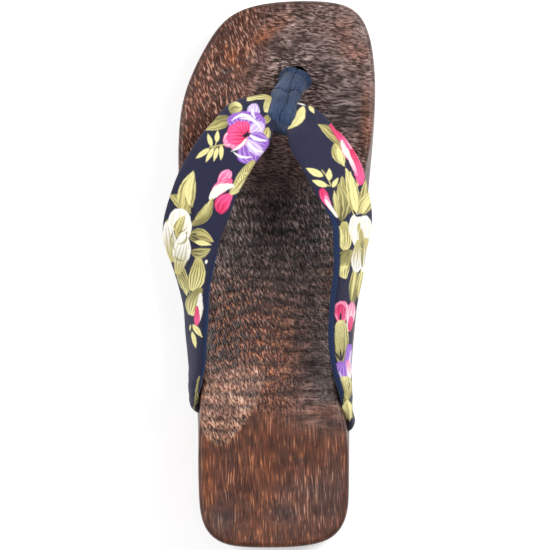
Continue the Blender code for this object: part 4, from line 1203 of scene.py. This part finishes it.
def paint_shape(paint, across, down, row):
    """Paints one printed shape over the cloth: a form about the bent line from base to tip, with streaks
    along it."""
    kind, x0, y0, x1, y1, width, bend = row
    form, low, high, streak, streaks, strength, darker = KINDS[kind]
    dx, dy = x1 - x0, y1 - y0
    length = math.hypot(dx, dy)
    reach = length / 2 + width / 2 + abs(bend) * length + 1
    near = np.flatnonzero(np.hypot(across - (x0 + x1) / 2, down - (y0 + y1) / 2) < reach)
    px, py = across[near] - x0, down[near] - y0
    u = (px * dx + py * dy) / length**2
    inside = np.clip(u, 0, 1)
    v = (py * dx - px * dy) / length - bend * length * 4 * inside * (1 - inside)
    half = np.maximum(width / 2 * FORMS[form](inside), 1e-3)
    ragged = 0.35 * value_noise(px, py, 2.3, 2.3, 11) * min(1, width / 8)
    cover = smooth_step(-0.45, 0.45, half - np.abs(v) + ragged)
    cover *= smooth_step(-0.5, 0.3, np.minimum(u, 1 - u) * length)
    side = np.clip(v / half, -1, 1)
    wobble = value_noise(u * length, v, 6, 3, 12)
    lines = smooth_step(0.35, 0.95, np.cos(side * streaks * math.pi + 1.3 * wobble))
    lines *= strength * smooth_step(0, 0.25, inside) * smooth_step(1.02, 0.8, inside) + strength * 0.25
    colour = low + (high - low) * smooth_step(0.1, 0.9, inside)[:, None]
    dim = (darker * smooth_step(-0.15, 0.15, side + 0.3 * wobble))[:, None]
    colour = colour * (1 - dim) + (colour * 0.5 + streak * 0.2) * dim
    colour = colour + (streak - colour) * np.clip(lines, 0, 1)[:, None]
    paint[near] += (colour - paint[near]) * cover[:, None]


def strap_angles():
    """Angles round the strap's oval at even steps along it, further apart on its underside."""
    turn = np.linspace(-math.pi / 2, 3 * math.pi / 2, SECTION_FINE)
    profile = np.column_stack(oval(turn)) * (STRAP_WIDTH / 2, STRAP_THICKNESS / 2)
    dense = np.where((turn > FINE_FROM) & (turn < FINE_TO), 1.0, COARSE_SHARE)
    steps = np.diff(chord_knots(profile, power=1)) * dense[1:]
    places = np.concatenate([[0], np.cumsum(steps)])
    return np.interp(np.linspace(0, places[-1], STRAP_ROUND + 1)[:-1], places, turn)


def unroll(grid, middle, angles):
    """The cloth unrolled outwards from its instep edge, in photo pixels: the way round to each point, and
    the place across and down where its print is read."""
    outward = unit(np.cross(unit(np.gradient(middle, axis=0)), (0, 0, 1)))[:, :2] * (-1, 1)
    across, down = photo_pixel(grid[..., 0], grid[..., 1])
    height = across * outward[:, :1] + down * outward[:, 1:]
    step = np.linalg.norm(np.diff(grid, axis=1), axis=2) / PIXEL
    gain = np.maximum(np.diff(height, axis=1), 0.35 * step)
    way = np.concatenate([np.zeros((len(grid), 1)), np.cumsum(gain, axis=1)], axis=1)
    start = np.argmin(np.where(angles < math.pi / 2, height, np.inf), axis=1)[:, None]
    way -= np.take_along_axis(way, start, 1)
    excess = np.where(way > 0, way - (height - np.take_along_axis(height, start, 1)), 0)
    return way, across + outward[:, :1] * excess, down + outward[:, 1:] * excess


def half_strap(name, first, last, ease, prints, lining_column, cloth):
    """One padded half of the strap: rounded ovals carried along its path and eased away from the instep
    beside the toe loop, with folds by the loop and the wood, a hem where the printed cloth turns over
    the lining, and the print and lining painted on its points."""
    fine = np.linspace(first, last, STRAP_FINE)
    arc = chord_knots(strap_path(fine)[0], power=1)
    along = np.linspace(0, arc[-1], int(arc[-1] / STRAP_STEP))
    path = strap_path(np.interp(along, arc, fine))
    bend_end, wood_end = (arc[-1], 0) if first == 0 else (0, arc[-1])
    close, away = np.abs(along - bend_end), np.abs(along - wood_end)

    angles = strap_angles()
    ease = np.array(ease) * MM
    eased = cubic_through(ease[:, 0], ease[:, 1:], np.minimum(close, ease[-1, 0]))
    share = smooth_step(-1, 1, np.cos(angles))
    moved = (eased[:, :1] * (1 - share) + eased[:, 1:] * share)[..., None]
    grid = band(path, angles) - path[1][:, None] * moved

    unrolled, across, down = unroll(grid, path[0], angles)
    shown = np.interp(down, *np.array(LINING_SHOWN)[:, [0, lining_column]].T)
    hem = unrolled - (shown + 0.5 * value_noise(down, 0 * down, 30, 1, 4))
    under = smooth_step(LINED_FROM, LINED_FULL, angles)[None, :]
    lined = np.maximum(smooth_step(0.5, -0.5, hem), under)

    around = unrolled * PIXEL
    length = np.broadcast_to(along[:, None], around.shape)
    folds = value_noise(length, around, FOLD_LONG, FOLD_WIDE, 21)
    folds *= (FOLD_HEIGHT * np.exp(-close / FOLD_REACH))[:, None]
    swells = value_noise(length, around, SWELL_LONG, SWELL_WIDE, 22) * SWELL_HEIGHT
    creases = value_noise(length, around, CREASE_LONG, CREASE_WIDE, 23)
    creases *= (CREASE_HEIGHT * bell(away - CREASE_PLACE, CREASE_REACH))[:, None]
    edge = -HEM_DIP * bell(hem + 0.3, 0.8) + HEM_STEP * smooth_step(0.2, 1.2, hem) * (1 - under)
    ends = np.minimum(smooth_step(*BEND_FADE, close), smooth_step(*WOOD_FADE, away))
    lift = (folds + swells + creases + edge) * ends[:, None] * MM
    strap = tube_piece(name, grid + tube_normals(grid, path[0]) * lift[..., None])

    paint = np.tile(NAVY, (across.size, 1))
    for row in prints:
        paint_shape(paint, across.ravel(), down.ravel(), row)
    # Painted shade along the hem's fold, where the printed cloth turns over the lining.
    seam = bell(hem + 0.2, 0.7) * SEAM_SHADE * (1 - under)
    for share, colour in ((lined, LINING_BLUE), (seam, SEAM_SHADE_BLUE)):
        share = share.ravel()[:, None]
        paint = paint * (1 - share) + colour * share
    put_colour(strap, "print", paint)
    put_value(strap, "lining", lined.ravel())
    put_uv(strap, length, around)
    finish_piece(strap, cloth, "strap")


# Toe loop

# Relief of the velour in millimetres: the two creases, the ribs with their pitch, the puffs and the
# bulge round the mouth of the bore, which lies a little above the footbed.
MIDDLE_CREASE, CROSS_CREASE, RIB_HEIGHT, RIB_PITCH, PUFF_HEIGHT = 0.45, 0.5, 0.10, 1.6, 0.35
BULGE_HEIGHT, BULGE_LEVEL, BULGE_REACH = 1.7, 1.7 * MM, 1.5 * MM
# The cross crease in photo pixels: a place on it, and its slant; and where painted shade darkens the velour
# below.
CROSS_X, CROSS_Y, CROSS_SLANT = 152, 91, 0.12
LOW_PART = (114, 132)


def make_loop(velour):
    """The toe loop: rounded ovals along its stations, with a lengthwise crease, a cross crease where it
    bends, fine ribs, soft puffs and a bulge at the bore, and the strap's path cut through it."""
    hole = np.array([*toe_hole() - (0, BORE_SETBACK), float(footbed_level(toe_hole()[1]))])
    bend, lean = strap_bend(), math.radians(BEND_LEAN)
    reach = BEND_WIDTH * STRAP_WIDTH / 2 + LOOP_TAIL_SHOWN
    back = np.array([0, -math.cos(lean), math.sin(lean)])
    thickness = BEND_THICKNESS * STRAP_THICKNESS + 2 * LOOP_WALL
    side_share, setback, rise, past, wide, thick = np.array(LOOP_FORM).T
    shares = np.column_stack([side_share, setback, rise])
    place = hole + (bend - hole) * shares + back * reach * past[:, None]
    place = place - (TAIL_SIDESTEP, 0, 0) * (past[:, None] > 0)
    wide = wide - TAIL_SLIMMER * (past > 0) - FOOT_SLIMMER * (rise < 0.1)
    thick = thick + TAIL_THICKER * past**2
    stations = np.column_stack([place, wide * LOOP_WIDTH, thick * thickness])
    knots = chord_knots(place)
    values = cubic_through(knots, stations, np.linspace(0, knots[-1], LOOP_ROWS))
    middle_line = values[:, :3]
    tangent = unit(np.gradient(middle_line, axis=0))
    side = unit(np.cross((*(bend[:2] - hole[:2]), 0), (0, 0, 1)))
    over = np.cross(side, tangent)
    angles = np.linspace(0, 2 * math.pi, LOOP_ROUND, endpoint=False)
    across, up = oval(angles)
    grid = middle_line[:, None] + side * (across * values[:, 3:4] / 2)[..., None]
    grid = grid + over[:, None] * (up * values[:, 4:5] / 2)[..., None]
    normal = tube_normals(grid, middle_line)

    photo_across, photo_down = photo_pixel(grid[..., 0], grid[..., 1])
    width = across[None, :] * values[:, 3:4] / 2 / MM
    facing = smooth_step(-0.2, 0.5, normal[..., 2])
    puffs = value_noise(photo_across, photo_down, 9, 9, 31)
    wander = value_noise(photo_across, photo_down, 5, 5, 32)
    middle = bell(width - 0.9 * np.sin(photo_down / 9) - 0.5 * wander, 0.5) * facing
    slant = CROSS_SLANT * (photo_across - CROSS_X)
    cross = bell(photo_down - CROSS_Y - slant - 1.6 * wander - 1.2 * np.cos(width), 1.1) * facing
    ribs = np.cos(width * 2 * math.pi / RIB_PITCH + wander) * facing
    # Painted shade: creases, gaps between ribs, the low part and sides facing away from above; the puffs add
    # a mottle.
    low = smooth_step(*LOW_PART, photo_down) + 0.6 * smooth_step(0.55, 0.2, normal[..., 2])
    crease = np.clip(0.65 * middle + 0.7 * cross + 0.16 * (1 - ribs) + 0.55 * low + 0.35 * puffs, 0, 1)
    mouth = grid[..., 2] - float(footbed_level(hole[1])) - BULGE_LEVEL
    front = smooth_step(-0.35, 0.35, normal[..., 1] + 0.6 * np.abs(normal[..., 0]))
    lift = -MIDDLE_CREASE * middle - CROSS_CREASE * cross + RIB_HEIGHT * ribs + PUFF_HEIGHT * puffs
    lift = (lift + BULGE_HEIGHT * bell(mouth, BULGE_REACH) * front) * MM
    rows = np.arange(LOOP_ROWS)
    ends = smooth_step(0, 12, rows) * smooth_step(LOOP_ROWS - 1, LOOP_ROWS - 6, rows)
    loop = tube_piece("velour_toe_loop", grid + normal * (lift * ends[:, None])[..., None])
    put_value(loop, "crease", crease.ravel() * 0.8)
    along = np.linspace(0, 1, LOOP_ROWS)[:, None] * chord_knots(middle_line, 1)[-1]
    along = np.broadcast_to(along, cross.shape)
    put_uv(loop, np.broadcast_to(angles / math.pi * LOOP_WIDTH, cross.shape), along)
    _, knots, middle_knot = strap_stations()
    share = middle_knot / knots[-1]
    cut_away(loop, strap_cutter(share - LOOP_CUT, share + LOOP_CUT, LOOP_CLEARANCE))
    finish_piece(loop, velour, "toe_loop")


# Studio

KEY_PLACE, KEY_SIZE, KEY_POWER = (0.62, 0.45, 0.85), 0.5, 10
FILL_PLACE, FILL_SIZE, FILL_POWER = (-0.75, 0.15, 0.85), 0.6, 8
LIGHT_AIM, WORLD_STRENGTH, FLOOR_GLOW, FLOOR_HALF = (0, 0.08, 0.03), 0.26, 0.36, 3.0


def make_floor():
    """A plain pale floor."""
    material, _, _ = new_material(
        "pale_floor", Roughness=0.9, Base_Color=FLOOR_GREY, Emission_Color=WHITE_LIGHT,
        Emission_Strength=FLOOR_GLOW, Specular_IOR_Level=0.1)
    corners = np.array([(-1, -1, 0), (1, -1, 0), (1, 1, 0), (-1, 1, 0)]) * FLOOR_HALF
    floor = mesh_piece("floor", corners, np.array([(0, 1, 2, 3)]))
    floor.data.materials.append(material)


def make_light(name, place, size, power):
    """A soft square light at a place, aimed at the shoe, that the camera doesn't see."""
    data = bpy.data.lights.new(name, "AREA")
    data.shape, data.size, data.energy = "SQUARE", size, power
    light = bpy.data.objects.new(name, data)
    light.location = place
    light.rotation_euler = (Vector(LIGHT_AIM) - Vector(place)).to_track_quat("-Z", "Y").to_euler()
    light.visible_camera = False
    bpy.context.scene.collection.objects.link(light)


def make_camera():
    """A long lens straight above, framing the shoe as the photograph does."""
    data = bpy.data.cameras.new("camera")
    data.lens, data.sensor_width, data.clip_start, data.clip_end = 1000, 36, 0.1, 30
    camera = bpy.data.objects.new("camera", data)
    distance = PHOTO_SIZE * PIXEL * data.lens / data.sensor_width
    camera.location = (0, (PHOTO_Y - PHOTO_SIZE / 2) * PIXEL - HEEL_BACK, distance + BALL_HEIGHT)
    bpy.context.scene.collection.objects.link(camera)
    bpy.context.scene.camera = camera


def make_world():
    """Even white light from all round."""
    world = bpy.data.worlds.new("studio")
    world.use_nodes = True
    background = world.node_tree.nodes["Background"].inputs
    background["Color"].default_value, background["Strength"].default_value = WHITE_LIGHT, WORLD_STRENGTH
    bpy.context.scene.world = world


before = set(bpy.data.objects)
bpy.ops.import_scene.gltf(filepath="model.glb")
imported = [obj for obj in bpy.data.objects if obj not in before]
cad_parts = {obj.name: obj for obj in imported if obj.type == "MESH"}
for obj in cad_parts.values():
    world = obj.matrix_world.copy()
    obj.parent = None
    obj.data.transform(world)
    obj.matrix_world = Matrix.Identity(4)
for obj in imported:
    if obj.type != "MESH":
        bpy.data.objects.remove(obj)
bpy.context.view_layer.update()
streak_group, weave_group = make_streak_group(), make_weave_group()
make_base(make_wood(streak_group))
cloth_material = make_cloth(weave_group)
_, strap_knots, strap_middle = strap_stations()
strap_span = strap_knots[-1]
opening = strap_span * BEND_OPENING
half_strap("outer_strap", 0, strap_middle - opening, OUTER_EASE, OUTER_PRINT, 1, cloth_material)
half_strap("inner_strap", strap_middle + opening, strap_span, INNER_EASE, INNER_PRINT, 2, cloth_material)
make_loop(make_velour(weave_group))
rubber_material = make_rubber()
for tread in ("heel_tread", "forefoot_tread"):
    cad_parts[tread].data.materials.clear()
    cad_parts[tread].data.materials.append(rubber_material)
make_floor()
make_world()
make_light("key", KEY_PLACE, KEY_SIZE, KEY_POWER)
make_light("fill", FILL_PLACE, FILL_SIZE, FILL_POWER)
make_camera()
bpy.context.scene.view_settings.view_transform = "Standard"
